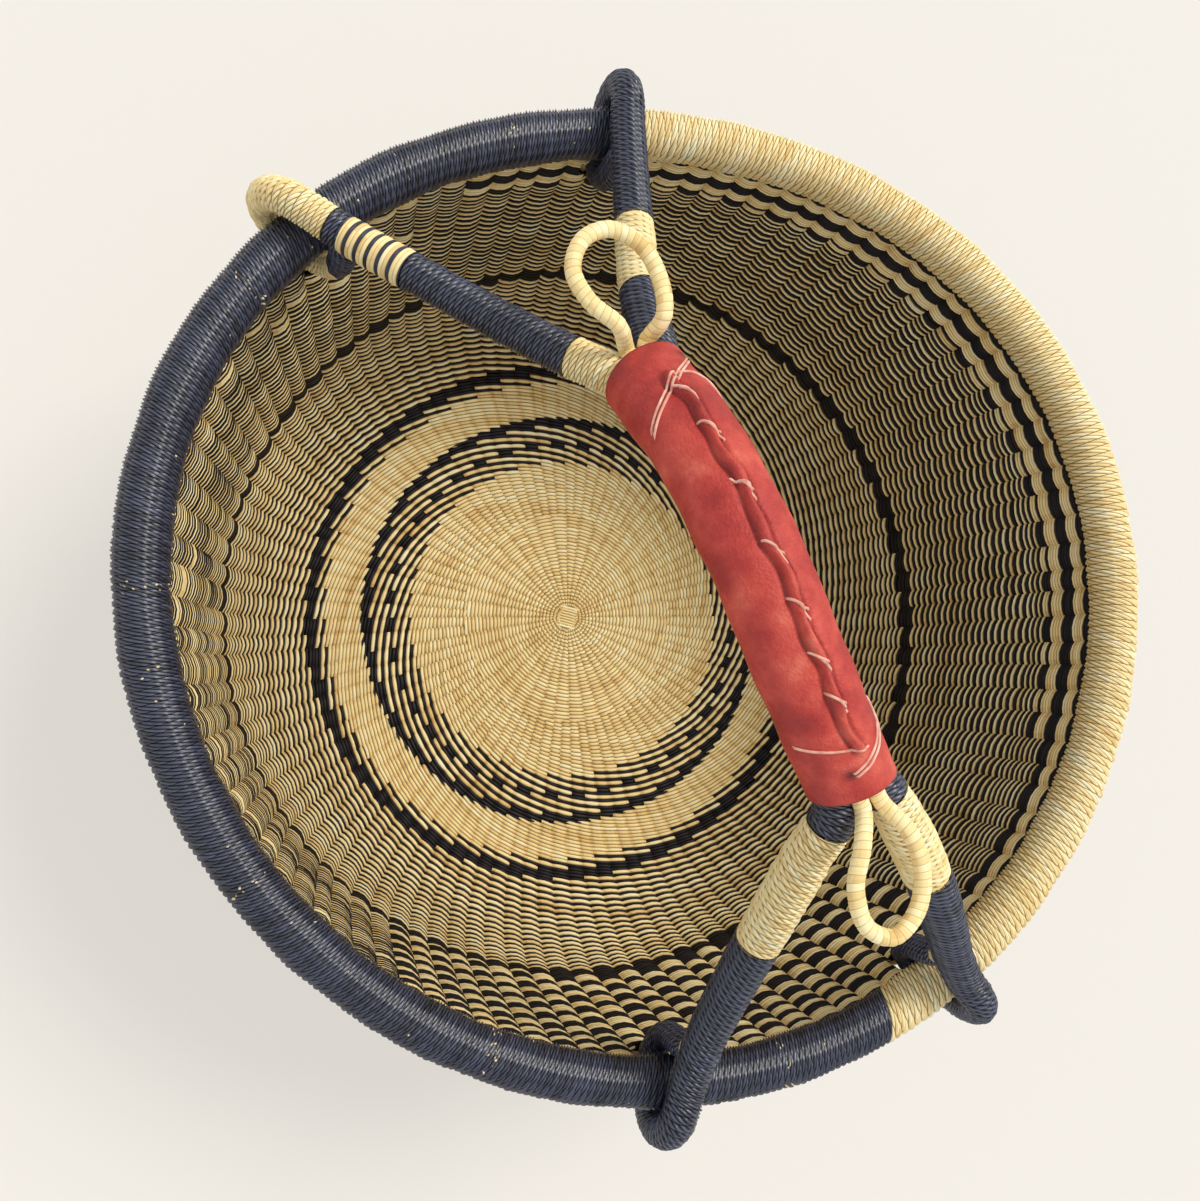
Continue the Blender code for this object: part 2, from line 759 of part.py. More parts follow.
# The handle turns about the line between the middles of its two pairs of feet.
foot_points = {name: rim_point(foot["angle"]) for name, foot in FEET.items()}
rock_start = (foot_points["a1"] + foot_points["a2"]) / 2
rock_end = (foot_points["b1"] + foot_points["b2"]) / 2
pivot = bpy.data.objects.new("handle_pivot", None)
pivot.empty_display_size = GRIP_HALF_WIDTH
pivot.location = (rock_start + rock_end) / 2
pivot.location.z = RIM_HEIGHT
lengthwise = rock_end - rock_start
pivot.rotation_euler = (0, 0, math.atan2(lengthwise.y, lengthwise.x))
BASKET.objects.link(pivot)
bpy.context.view_layer.update()
handle = []

# Two cores and their bindings.
CORES = (("handle_core_west", "a1", "b1"), ("handle_core_east", "a2", "b2"))
for core_name, first_name, last_name in CORES:
    points, radii, ends = core_route(FEET[first_name], FEET[last_name])
    core_radii = [radius - LEG_SHELL for radius in radii]
    handle.append(dress(as_mesh(tube(core_name, points, core_radii)), "natural"))
    handle.extend(place_sleeves(first_name, points, radii, *ends["first"]))
    handle.extend(place_sleeves(last_name, points, radii, *ends["last"]))

# Grip: padding round both cores, leather over it with a sewn fold on top.
grip_ones = [1] * len(grip_route)
skin_section = ellipse_section("leather_section", GRIP_HALF_WIDTH, GRIP_HALF_HEIGHT)
inset = (LEATHER_THICKNESS + GAP) / GRIP_FLAT_SHARE
fill_section = ellipse_section("binding_section", GRIP_HALF_WIDTH - inset, GRIP_HALF_HEIGHT - inset)
last_spot = len(grip_route) - 1


def grip_span(start, end):
    """The share of the grip line from one inset to another, both measured from its ends."""
    return (
        spot_at(grip_route, start) / last_spot,
        spot_at(grip_route, GRIP_LENGTH - end) / last_spot,
    )


leather = hollow(
    as_mesh(
        tube("grip_leather", grip_route, grip_ones, capped=False, section=skin_section, upright=True)
    ),
    LEATHER_THICKNESS,
)
binding = as_mesh(
    tube(
        "grip_binding",
        grip_route,
        grip_ones,
        span=grip_span(GRIP_POCKET, GRIP_POCKET),
        section=fill_section,
        upright=True,
    )
)
bore_width = (GRIP_CORE_SPREAD + GRIP_CORE_RADIUS + BORE_CLEARANCE) / GRIP_FLAT_SHARE
bore_section = ellipse_section("bore_section", bore_width, BORE_HALF_HEIGHT)
bore = as_mesh(tube("grip_bore", grip_route, grip_ones, section=bore_section, upright=True))
boolean(binding, keep_as_guide(bore), "DIFFERENCE")


def grip_up(spot):
    """Upwards, square to the level way across the grip and to its line at a spot."""
    step = min(math.floor(spot), last_spot - 1)
    ups = []
    for corner in (step, step + 1):
        before = grip_route[corner] - grip_route[max(corner - 1, 0)]
        after = grip_route[min(corner + 1, last_spot)] - grip_route[corner]
        onward = before.normalized() + after.normalized()
        ups.append(onward.cross(GRIP_SIDE).normalized())
    return ups[0].lerp(ups[1], spot - step).normalized()


FOLD_HEIGHT = GRIP_HALF_HEIGHT - LEATHER_THICKNESS + SEAM_FOLD_RADIUS
fold_line = [point + FOLD_HEIGHT * grip_up(spot) for spot, point in enumerate(grip_route)]
fold = as_mesh(
    tube(
        "seam_fold",
        fold_line,
        [SEAM_FOLD_RADIUS] * len(fold_line),
        span=grip_span(SEAM_INSET, SEAM_INSET),
        upright=True,
    )
)
keep_as_guide(fold)
boolean(leather, fold, "UNION")
handle += [dress(leather, "leather"), dress(binding, "natural")]

# Lacing that zigzags over the fold.
lace_reach = (SEAM_FOLD_RADIUS + GAP + LACE_RADIUS) / math.cos(math.pi / (2 * LACE_STEPS))
seam_length = GRIP_LENGTH - 2 * SEAM_INSET
lace = []
for bend in range(LACE_STITCHES * LACE_STEPS + 1):
    distance = SEAM_INSET + seam_length * bend / (LACE_STITCHES * LACE_STEPS)
    spot = spot_at(grip_route, distance)
    turn = math.pi * bend / LACE_STEPS
    across = lace_reach * math.cos(turn)
    rise = lace_reach * abs(math.sin(turn))
    lace.append(point_at(fold_line, spot) + across * GRIP_SIDE + rise * grip_up(spot))
lacing = tube("seam_lacing", lace, [LACE_RADIUS] * len(lace))
lacing.data.bevel_resolution = 1
handle.append(dress(as_mesh(lacing), "thong"))

# Thongs tied round both ends of the grip.
tie_grow = (TIE_THICKNESS + GAP) / GRIP_FLAT_SHARE
tie_section = ellipse_section("tie_section", GRIP_HALF_WIDTH + tie_grow, GRIP_HALF_HEIGHT + tie_grow)
for tie_name, inset in (("end_tie_a", TIE_INSET), ("end_tie_b", GRIP_LENGTH - TIE_INSET)):
    span = grip_span(inset - TIE_WIDTH / 2, GRIP_LENGTH - inset - TIE_WIDTH / 2)
    tie = tube(
        tie_name, grip_route, grip_ones, capped=False, span=span, section=tie_section, upright=True
    )
    handle.append(dress(hollow(as_mesh(tie), TIE_THICKNESS), "thong"))

# Small straw loops tucked into both ends of the grip, over the cores.
for loop_name, loop in SMALL_LOOPS.items():
    at_start = loop["grip_end"] == 0
    tip, outward = GRIP_ENDS[loop["grip_end"]]
    level = Vector((outward.x, outward.y, 0)).normalized()
    level = UP.cross(GRIP_SIDE) * (1 if UP.cross(GRIP_SIDE).dot(level) > 0 else -1)
    lift = grip_up(0 if at_start else last_spot)
    pocket = GRIP_POCKET - LOOP_END_GAP
    spot = spot_at(grip_route, pocket if at_start else GRIP_LENGTH - pocket)
    inside = point_at(grip_route, spot)
    seats = []
    for side in (-1, 1):
        shift = side * LOOP_SPREAD * GRIP_SIDE + LOOP_LIFT * lift
        seats.append([inside + shift, tip + shift, tip + shift + LOOP_EXIT * outward])
    rise = loop["rise_share"] * LOOP_LENGTH
    bow = [
        tip
        + out * LOOP_LENGTH * level
        + across * LOOP_HALF_WIDTH * GRIP_SIDE
        + rise * UP
        for out, across in loop["outline_shares"]
    ]
    chain = [*seats[0], *bow, *reversed(seats[1])]
    ends = (2 * chain[0] - chain[1], 2 * chain[-1] - chain[-2])
    route, _ = smooth_through(ends[0], chain, ends[1], LOOP_STEP)
    cord = tube(f"small_loop_{loop_name}", route, [LOOP_RADIUS] * len(route))
    handle.append(dress(as_mesh(cord), "natural"))

for piece in handle:
    piece.parent = pivot
    piece.matrix_parent_inverse = pivot.matrix_world.inverted()
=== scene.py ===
import math

import bmesh
import bpy
import numpy as np
from mathutils import Matrix, Vector


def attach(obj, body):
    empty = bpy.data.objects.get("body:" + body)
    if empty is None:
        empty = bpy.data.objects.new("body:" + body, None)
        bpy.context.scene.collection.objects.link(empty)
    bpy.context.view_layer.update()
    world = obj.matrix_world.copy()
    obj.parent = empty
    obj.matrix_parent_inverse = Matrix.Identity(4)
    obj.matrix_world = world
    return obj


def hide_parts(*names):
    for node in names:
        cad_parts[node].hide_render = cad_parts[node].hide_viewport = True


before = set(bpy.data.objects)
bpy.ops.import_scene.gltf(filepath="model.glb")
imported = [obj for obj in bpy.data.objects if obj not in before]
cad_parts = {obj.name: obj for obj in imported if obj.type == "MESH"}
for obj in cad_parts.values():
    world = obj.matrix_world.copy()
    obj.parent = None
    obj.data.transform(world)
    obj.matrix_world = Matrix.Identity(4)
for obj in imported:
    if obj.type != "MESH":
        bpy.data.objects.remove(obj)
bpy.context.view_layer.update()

UP = Vector((0, 0, 1))
WELD_DISTANCE = 0.00001
MM = 1000

# Bowl: the same profile and unevenness as the solids, in metres.
RIM_RADIUS = 0.200
RIM_HEIGHT = 0.190
RIM_COVER_RADIUS = 0.0105
RIM_CLEARANCE_RADIUS = 0.01052
RIM_OVAL = 0.0051
RIM_OVAL_TURN = math.radians(2.8)
RIM_LOBES = 0.0025
RIM_LOBES_TURN = math.radians(38.9)
RIM_WAVE = 0.0067
RIM_WAVE_TURN = math.radians(-12.9)
RIM_DRAW_IN = 0.00038
NAVY_START = math.radians(97)
NAVY_END = math.radians(295)
BASE_FLAT_RADIUS = 0.115
CORNER_REACH = 0.068
CORNER_RISE = 0.080
CORNER_SWEEP = math.radians(76)
CORNER_STEPS = 40
WALL_MIDDLE = 0.00245
BELLY_LEAN = 0.0042
BELLY_TURN = math.radians(225)

# Weave: the sheets start this far from the wall's middle.
SHEET_OFFSET = 0.0012
STRAND_RELIEF = 0.0010
CREST_GRAINS = (0, 0.2, 0.5, 0.8)
CREST_HEIGHTS = (0, 0.8, 1.0, 0.8)
PLAIN_GRAINS = (0, 0.3, 0.7)
PLAIN_HEIGHTS = (0, 1.0, 1.0)
RIB_SAMPLES = (0, 0.2, 0.5, 0.8)
PLAIN_RIB_SAMPLES = (0, 0.25, 0.75)
SPREAD_ROWS = (45, 65)
NATURAL_SPREAD = (0.12, -0.10)
DARK_RELIEF = (0.85, 1.15)
ROW_WAVES = (2, 5, 9, 14)
ROW_WAVER = 0.20
SURFACE_WAVES = (3, 7, 12, 19)
SURFACE_WAVER = 0.00025
WAVE_TWIST = 30
STRAND_SIZES = (0.84, 1.12)
PLY_SIZES = (0.75, 1.1)
# Painted shade: how much darker the strands are painted towards the valleys between ribs.
PAINTED_VALLEY_SHADE = 0.45
UNEVEN_ROWS = 0.09
UNEVEN_RIBS = 0.09
START_PATCH = 0.012
HOLE_SIDE_CLEARANCE = 0.0015
HOLE_RISE_CLEARANCE = 0.0038
HOLE_REACH = 0.012

random_numbers = np.random.default_rng(20)


def profile_line():
    """Middle of the wall: distance along it, radius, height and outward normal."""
    turns = np.linspace(0, CORNER_SWEEP, CORNER_STEPS)
    radius = [0, *(BASE_FLAT_RADIUS + CORNER_REACH * np.sin(turns)), RIM_RADIUS]
    height = [WALL_MIDDLE, *(WALL_MIDDLE + CORNER_RISE * (1 - np.cos(turns))), RIM_HEIGHT]
    climb = np.array((radius[-1] - radius[-2], height[-1] - height[-2]))
    normals = [(0, -1), *zip(CORNER_RISE * np.sin(turns), -CORNER_REACH * np.cos(turns))]
    normals = np.array([*normals, (climb[1], -climb[0])])
    normals /= np.linalg.norm(normals, axis=1)[:, None]
    steps = np.hypot(np.diff(radius), np.diff(height))
    return np.concatenate([[0], np.cumsum(steps)]), np.array(radius), np.array(height), normals


ALONG, RADIUS, HEIGHT, NORMALS = profile_line()


def along_at_radius(radius):
    return float(np.interp(radius, RADIUS, ALONG))


def along_at_height(height):
    return float(np.interp(height, HEIGHT[1:], ALONG[1:]))


def warp(x, y, z):
    """The hand-woven unevenness: none at the base, full from just under the rim."""
    angle = np.arctan2(y, x)
    rise = np.clip(z / RIM_HEIGHT, 0, 1)
    share = np.clip(z / (RIM_HEIGHT - 2 * RIM_CLEARANCE_RADIUS), 0, 1) ** 2
    swell = RIM_OVAL * np.cos(2 * (angle - RIM_OVAL_TURN))
    swell = swell + RIM_LOBES * np.cos(3 * (angle - RIM_LOBES_TURN))
    lift = RIM_WAVE * np.cos(2 * (angle - RIM_WAVE_TURN))
    lean = 27 / 4 * rise * (1 - rise) ** 2 * BELLY_LEAN * np.cos(angle - BELLY_TURN)
    grow = 1 + (share * swell + lean) / RIM_RADIUS
    return x * grow, y * grow, z + share * lift


def on_wall(angle, along, offset):
    """Points beside the wall's middle, at an angle, a distance along the profile and an offset."""
    normal_out = np.interp(along, ALONG, NORMALS[:, 0])
    normal_up = np.interp(along, ALONG, NORMALS[:, 1])
    size = np.hypot(normal_out, normal_up)
    radius = np.interp(along, ALONG, RADIUS) + offset * normal_out / size
    height = np.interp(along, ALONG, HEIGHT) + offset * normal_up / size
    return np.stack(warp(radius * np.cos(angle), radius * np.sin(angle), height), axis=1)


def rim_line(angle):
    """The rim's middle line at each angle."""
    radius = RIM_RADIUS - RIM_DRAW_IN
    x, y, z = warp(radius * np.cos(angle), radius * np.sin(angle), RIM_HEIGHT + 0 * angle)
    return np.stack((x, y, z), axis=-1)


def rim_point(angle):
    return Vector(rim_line(np.array(angle)))


def add_object(name, data):
    made = bpy.data.objects.new(name, data)
    bpy.context.scene.collection.objects.link(made)
    return made


def round_curve(name, radius, steps):
    curve = bpy.data.curves.new(name, "CURVE")
    curve.dimensions = "3D"
    curve.bevel_depth = radius
    curve.bevel_resolution = steps
    return curve


def add_line(curve, points):
    run = curve.splines.new("POLY")
    run.points.add(len(points) - 1)
    for corner, point in zip(run.points, points):
        corner.co = (*point, 1)


# Straw sheets: a grid whose columns run round and whose rows are the strands side by side.
def grid_numbers(columns, rows, cell_columns):
    """A grid without the faces between its cells, and each corner's column and row."""
    shape = bmesh.new()
    bmesh.ops.create_grid(shape, x_segments=columns - 1, y_segments=rows - 1, size=0.5)
    if cell_columns:
        between = [
            face
            for face in shape.faces
            if (int((face.calc_center_median().x + 0.5) * (columns - 1)) + 1) % cell_columns == 0
        ]
        bmesh.ops.delete(shape, geom=between, context="FACES")
    mesh = bpy.data.meshes.new("straw")
    shape.to_mesh(mesh)
    shape.free()
    corners = np.empty(len(mesh.vertices) * 3)
    mesh.vertices.foreach_get("co", corners)
    corners = corners.reshape(-1, 3)
    column = np.rint((corners[:, 0] + 0.5) * (columns - 1)).astype(int)
    row = np.rint((corners[:, 1] + 0.5) * (rows - 1)).astype(int)
    return mesh, column, row


def face_corners(mesh):
    corners = np.empty(len(mesh.loops), dtype=int)
    mesh.loops.foreach_get("vertex_index", corners)
    return corners.reshape(-1, 4)


def set_face_value(mesh, name, values):
    layer = mesh.attributes.new(name, "FLOAT", "FACE")
    layer.data.foreach_set("value", values.astype(np.float32))


def finish_sheet(name, mesh, points, along, line, dye, tone, flip=False, doomed=None):
    """Put the corners in place, store the strands' colours and merge the seams."""
    mesh.vertices.foreach_set("co", points.astype(np.float32).ravel())
    faces = face_corners(mesh)
    set_face_value(mesh, "dye", dye)
    set_face_value(mesh, "tone", tone)
    strand = mesh.uv_layers.new(name="strand")
    places = np.stack((along[faces] * MM, line[faces]), axis=2)
    strand.data.foreach_set("uv", places.astype(np.float32).ravel())
    shape = bmesh.new()
    shape.from_mesh(mesh)
    shape.faces.ensure_lookup_table()
    if doomed is not None:
        gone = [shape.faces[index] for index in np.flatnonzero(doomed)]
        bmesh.ops.delete(shape, geom=gone, context="FACES")
    bmesh.ops.remove_doubles(shape, verts=shape.verts, dist=WELD_DISTANCE)
    if flip:
        bmesh.ops.reverse_faces(shape, faces=shape.faces)
    shape.to_mesh(mesh)
    shape.free()
    mesh.name = name
    mesh.shade_smooth()
    return add_object(name, mesh)


def waves(angle, along, sizes, reach):
    """A smooth seeded unevenness that closes round the bowl."""
    total = np.zeros_like(angle)
    for turns in sizes:
        start, lean = random_numbers.uniform(0, 2 * math.pi, 2)
        total += np.sin(turns * angle + start + along * (lean - math.pi) * WAVE_TWIST)
    return reach * total / len(sizes)


# Rows of the weave: where each row number lies along the profile.
CENTRE_END = 27
DISC_END = 15
BASE_END = 29
PALE_END = 10
RING_ROW = 13
RING_END = 16
RIM_BAND_ROW = 99
HOLE_ROW = 80
CENTRE_ROWS = ((0, CENTRE_END), (along_at_radius(0.004), along_at_radius(0.058)))
BASE_ROWS = (
    (0, DISC_END, BASE_END - 1, BASE_END),
    tuple(along_at_radius(r) for r in (0.056, 0.086, 0.111, 0.113)),
)
LINE_ROW = 51
UPPER_ROW = 54
CLOSE_ROW = 92
TOP_ROW = 115
WALL_ROWS = (
    (0, PALE_END, RING_END, LINE_ROW, UPPER_ROW, CLOSE_ROW, TOP_ROW + 1),
    (
        along_at_radius(0.111),
        along_at_radius(0.131),
        along_at_radius(0.141),
        along_at_height(0.0575),
        along_at_height(0.0655),
        along_at_height(0.1455),
        along_at_height(0.1815),
    ),
)
CENTRE_CELLS = 40
BASE_CELLS = 80
WALL_CELLS = 106
RIB_RELIEF_ALONG = tuple(along_at_radius(r) for r in (0, 0.09, 0.112, 0.141)) + (
    along_at_height(0.05),
    along_at_height(0.19),
)
RIB_RELIEF = (0.0009, 0.0009, 0.0009, 0.0012, 0.0019, 0.0019)
OUTER_RIB_RELIEF = (0.0002, 0.0002, 0.0003, 0.0012, 0.0019, 0.0019)
BASE_LIFT = 0.00005
CENTRE_SLANT = ((0, 1), (0.25, 0.25))
BASE_SLANT = ((6, DISC_END), (0.3, 1))
WALL_SLANT = ((UPPER_ROW, TOP_ROW - 18), (1, 0.5))
CENTRE_GRID = (CENTRE_ROWS, CENTRE_CELLS, CENTRE_SLANT)
BASE_GRID = (BASE_ROWS, BASE_CELLS, BASE_SLANT)
WALL_GRID = (WALL_ROWS, WALL_CELLS, WALL_SLANT)
DARK_ROW_ON_BASE = 20
THIN_LINE_SECTOR = (150, 262)
EAST_SECTOR = (340, 475)
SOUTH_SECTOR = (235, 312)
WEST_SECTOR = (117, 235)
EAST_DASHES = (17, 18)
TOP_BAND = 3
WEST_KEPT = ((70, TOP_ROW), (1, 0.9))
# By sector in degrees: bands of rows counted down from the top, 0 for natural and 1 for dark.
UPPER_BANDS = (
    (EAST_SECTOR, ((4, 7, 0), (8, 11, 1), (12, 15, 0), (16, 18, 1))),
    ((312, 340), ((4, 7, 0), (8, 10, 1))),
    (SOUTH_SECTOR, ((4, 6, 0),)),
)


def natural_centre(cell, row):
    return np.zeros(np.broadcast(cell, row).shape)


def striped(cell, row):
    return ((row - cell) % 2).astype(float)


def base_dye(cell, row):
    dye = striped(cell, row)
    dye[np.broadcast_to(row < DISC_END, dye.shape)] = 0
    dark = (row == DARK_ROW_ON_BASE) | (row >= BASE_END - 3)
    dye[np.broadcast_to(dark, dye.shape)] = 1
    return dye


def between(values, ends):
    return (values >= ends[0]) & (values <= ends[1])


def in_sector(degrees, sector):
    return (degrees - sector[0]) % 360 < sector[1] - sector[0]


def wall_dye(cell, row):
    """Which strands are dark: rings low on the wall, then patches of bands under the rim."""
    cell, row = np.broadcast_arrays(cell, row)
    degrees = (cell + 0.5) * 360 / WALL_CELLS
    down = TOP_ROW - row
    dye = striped(cell, row)
    dye[row < PALE_END] = 0
    dye[(row >= RING_ROW) & (row < RING_END)] = 1
    thin_line = in_sector(degrees, THIN_LINE_SECTOR)
    dye[(row >= LINE_ROW) & (row < UPPER_ROW) & ~(thin_line & (row == UPPER_ROW - 1))] = 1
    upper = row >= UPPER_ROW
    blocks = ((row - UPPER_ROW) + 3 * (cell % 2)) % 7 < 4 - cell % 2
    south = upper & in_sector(degrees, SOUTH_SECTOR)
    dye[south] = np.where(blocks[south], 0, 1)
    for sector, bands in UPPER_BANDS:
        here = upper & in_sector(degrees, sector)
        for *ends, colour in bands:
            dye[here & between(down, ends)] = colour
    east = upper & in_sector(degrees, EAST_SECTOR)
    dye[east & between(down, EAST_DASHES) & (cell % 2 == 1)] = 0
    west = upper & in_sector(degrees, WEST_SECTOR)
    chance = np.random.default_rng(7).uniform(0, 1, (WALL_CELLS, TOP_ROW + 3))
    spared = chance[cell, np.clip(row, 0, TOP_ROW + 2)] > np.interp(row, *WEST_KEPT)
    dye[west & spared] = 0
    dye[upper & (down <= TOP_BAND)] = 1
    return dye


def weave(name, grid, first, last, rule, inside=True, holes=()):
    """One band of twined straw between two rows, seen from inside or outside the bowl."""
    rows, cells, slant = grid
    samples = RIB_SAMPLES if inside else PLAIN_RIB_SAMPLES
    grains = CREST_GRAINS if inside else PLAIN_GRAINS
    heights = np.array(CREST_HEIGHTS if inside else PLAIN_HEIGHTS)
    across = [*samples, 1]
    cell_columns, row_cuts = len(across), len(grains)
    mesh, column, cut = grid_numbers(
        cells * cell_columns, (last - first) * row_cuts + 1, cell_columns
    )
    cell, share = column // cell_columns, np.array(across)[column % cell_columns]
    row, grain = first + cut // row_cuts, np.array(grains)[cut % row_cuts]
    swell = 1 - (2 * share - 1) ** 2

    table = rule(np.arange(cells)[:, None], np.arange(first - 1, last + 2)[None, :])
    share_spread = np.interp(np.arange(first, last + 2), SPREAD_ROWS, NATURAL_SPREAD)
    spread = np.diff(table, axis=1) * share_spread
    spread = spread + random_numbers.uniform(-UNEVEN_ROWS, UNEVEN_ROWS, spread.shape)
    spread[:, 0] = spread[:, -1] = 0
    low_edge = row + spread[cell, row - first] * swell
    high_edge = row + 1 + spread[cell, np.minimum(row - first + 1, last - first)] * swell
    lean_rows = share * np.interp(row, *slant)
    place = low_edge * (1 - grain) + high_edge * grain + lean_rows
    lean = np.random.default_rng(cells).uniform(-UNEVEN_RIBS, UNEVEN_RIBS, cells)
    ribs_at = cell + share + lean[cell] * (1 - share) + lean[(cell + 1) % cells] * share
    angle = 2 * math.pi * ribs_at / cells
    rough = np.interp(place, *rows)
    place = place + waves(angle, rough, ROW_WAVES, ROW_WAVER)
    place = np.clip(place, rows[0][0], rows[0][-1])
    along = np.interp(place, *rows)

    size = random_numbers.uniform(*STRAND_SIZES, table.shape)
    here = (cell, row - first + 1)
    strand = heights[cut % row_cuts] * size[here]
    dark_relief = np.interp(row, SPREAD_ROWS, DARK_RELIEF)
    strand = strand * np.where(table[here] > 0.5, dark_relief, 1)
    relief = np.interp(along, RIB_RELIEF_ALONG, RIB_RELIEF if inside else OUTER_RIB_RELIEF)
    offset = SHEET_OFFSET + relief * swell + STRAND_RELIEF * strand
    offset = offset + waves(angle, along, SURFACE_WAVES, SURFACE_WAVER)
    points = on_wall(angle, along, -offset if inside else offset)
    points[:, 2] = np.maximum(points[:, 2], BASE_LIFT)

    faces = face_corners(mesh)
    face_cell = cell[faces].min(axis=1)
    face_row = row[faces].min(axis=1) - first + 1
    line = row + grain - cell
    radius = np.interp(along, ALONG, RADIUS)
    shade = random_numbers.uniform(0, 1, table.shape)
    long_shade = random_numbers.uniform(0, 1, cells + last + 4)
    tone = 0.5 * shade[face_cell, face_row]
    tone += 0.5 * long_shade[(face_row - face_cell) % len(long_shade)]
    # Painted shade: strands darker towards the valleys between the ribs.
    tone -= PAINTED_VALLEY_SHADE * (1 - swell[faces].mean(axis=1))
    doomed = None
    if holes:
        middles = points[faces].mean(axis=1)
        doomed = np.zeros(len(faces), dtype=bool)
        for centre, side, half_width, half_height in holes:
            away = middles - np.array(centre)
            sideways = away @ np.array(side) / half_width
            doomed |= (
                (sideways**2 + (away[:, 2] / half_height) ** 2 < 1)
                & (np.abs(away @ np.array(side.cross(UP))) < HOLE_REACH)
            )
    return finish_sheet(
        name,
        mesh,
        points,
        angle * radius,
        line,
        table[face_cell, face_row],
        tone,
        flip=inside,
        doomed=doomed,
    )


# Wound straw: twisted two-ply cord laid round a middle line, each row of faces one ply.
PLY_END_DIP = 0.9
PLY_LENGTH = 0.0065
TONE_PARTS = 7


def route_frame(points, radii, side):
    """Middle line, two square directions and radius at any distance along a route."""
    points = np.array([tuple(point) for point in points])
    along = np.concatenate([[0], np.cumsum(np.linalg.norm(np.diff(points, axis=0), axis=1))])
    tangents = np.gradient(points, along, axis=0)
    tangents /= np.linalg.norm(tangents, axis=1)[:, None]
    sides, side = [], np.array(tuple(side))
    for tangent in tangents:
        side = side - tangent * (side @ tangent)
        side = side / np.linalg.norm(side)
        sides.append(side)
    sides = np.array(sides)
    ups = np.cross(tangents, sides)
    radii = np.array(radii)

    def at(distance):
        parts = [
            np.stack([np.interp(distance, along, line[:, axis]) for axis in range(3)], axis=1)
            for line in (points, sides, ups)
        ]
        return *parts, np.interp(distance, along, radii)

    return at, along[-1]


def wound(name, at, start, end, ply, drift, around, grains, heights, groove, rule, **options):
    """Plies wound round a line from one distance to another, each row one ply wide."""
    clamp = options.get("clamp", True)
    dome = options.get("dome")
    plies = round((end - start) / ply)
    ply = (end - start) / plies
    first = -(max(drift, 0) + 1) if clamp else 0
    last = plies + (max(-drift, 0) + 1 if clamp else 0)
    cuts = len(grains)
    mesh, column, cut = grid_numbers(around + 1, (last - first) * cuts + 1, 0)
    turn = column / around
    row, grain = first + cut // cuts, np.array(grains)[cut % cuts]
    distance = start + (row + grain + drift * turn) * ply
    if clamp:
        distance = np.clip(distance, start, end)
    middle, side, up, radius = at(distance)
    height = np.array(heights)[cut % cuts]
    table = np.arange(first, last + 1)
    size = random_numbers.uniform(*PLY_SIZES, len(table))
    twist = (row + grain + drift * turn) / 2
    if abs(drift) > 1:
        height = height * (1 - PLY_END_DIP * (0.5 + 0.5 * np.cos(math.tau * twist)) ** 3)
    crest = radius - groove * (1 - height * size[row - first])
    if dome:
        reach, at_start = dome
        left = distance - start if at_start else end - distance
        crest = crest * np.sqrt(np.clip(1 - (1 - np.clip(left / reach, 0, 1)) ** 2, 0, 1))
    phi = math.tau * turn - math.pi / 2
    points = (
        middle
        + (crest * np.cos(phi))[:, None] * side
        + (crest * np.sin(phi))[:, None] * up
    )
    faces = face_corners(mesh)
    face_row = row[faces].min(axis=1) - first
    face_turn = turn[faces].min(axis=1)
    shade = random_numbers.uniform(0, 1, (len(table), TONE_PARTS))
    tone = shade[face_row, np.minimum((face_turn * TONE_PARTS).astype(int), TONE_PARTS - 1)]
    tone = 0.5 * tone + 0.5 * random_numbers.uniform(0, 1, len(table))[face_row]
    dye = rule(table[face_row], face_turn)
    flip = options.get("flip", False)
    return finish_sheet(name, mesh, points, twist * PLY_LENGTH, row + grain, dye, tone, flip=flip)


# Handle: the same routes as the solids, in finer steps.
HANDLE_RISE = 0.116
HOOK_SLACK = 0.0038
HOOK_SIDE_GAP = 0.00093
HOOK_STEPS = 36
TAIL_RADIUS = 0.0055
TAIL_GAP = 0.0004
GRIP_CORE_SPREAD = 0.0064
GRIP_CORE_BOUND = 0.0074
MOUTH_SPREAD = 0.0090
MOUTH_STEP = 0.0065
MOUTH_RADIUS = 0.0076
SMOOTH_STEP = 0.004
GRIP_LINE_SHARES = (
    (-0.2000, 0.3200, 0.672),
    (-0.1500, 0.1650, 0.897),
    (-0.0875, -0.0125, 1.000),
    (-0.0050, -0.2000, 0.983),
    (0.0925, -0.3625, 0.888),
)
GRIP_HALF_WIDTH = 0.0155
GRIP_HALF_HEIGHT = 0.0140
LEATHER_THICKNESS = 0.0016
GRIP_POCKET = 0.012
SEAM_INSET = 0.020
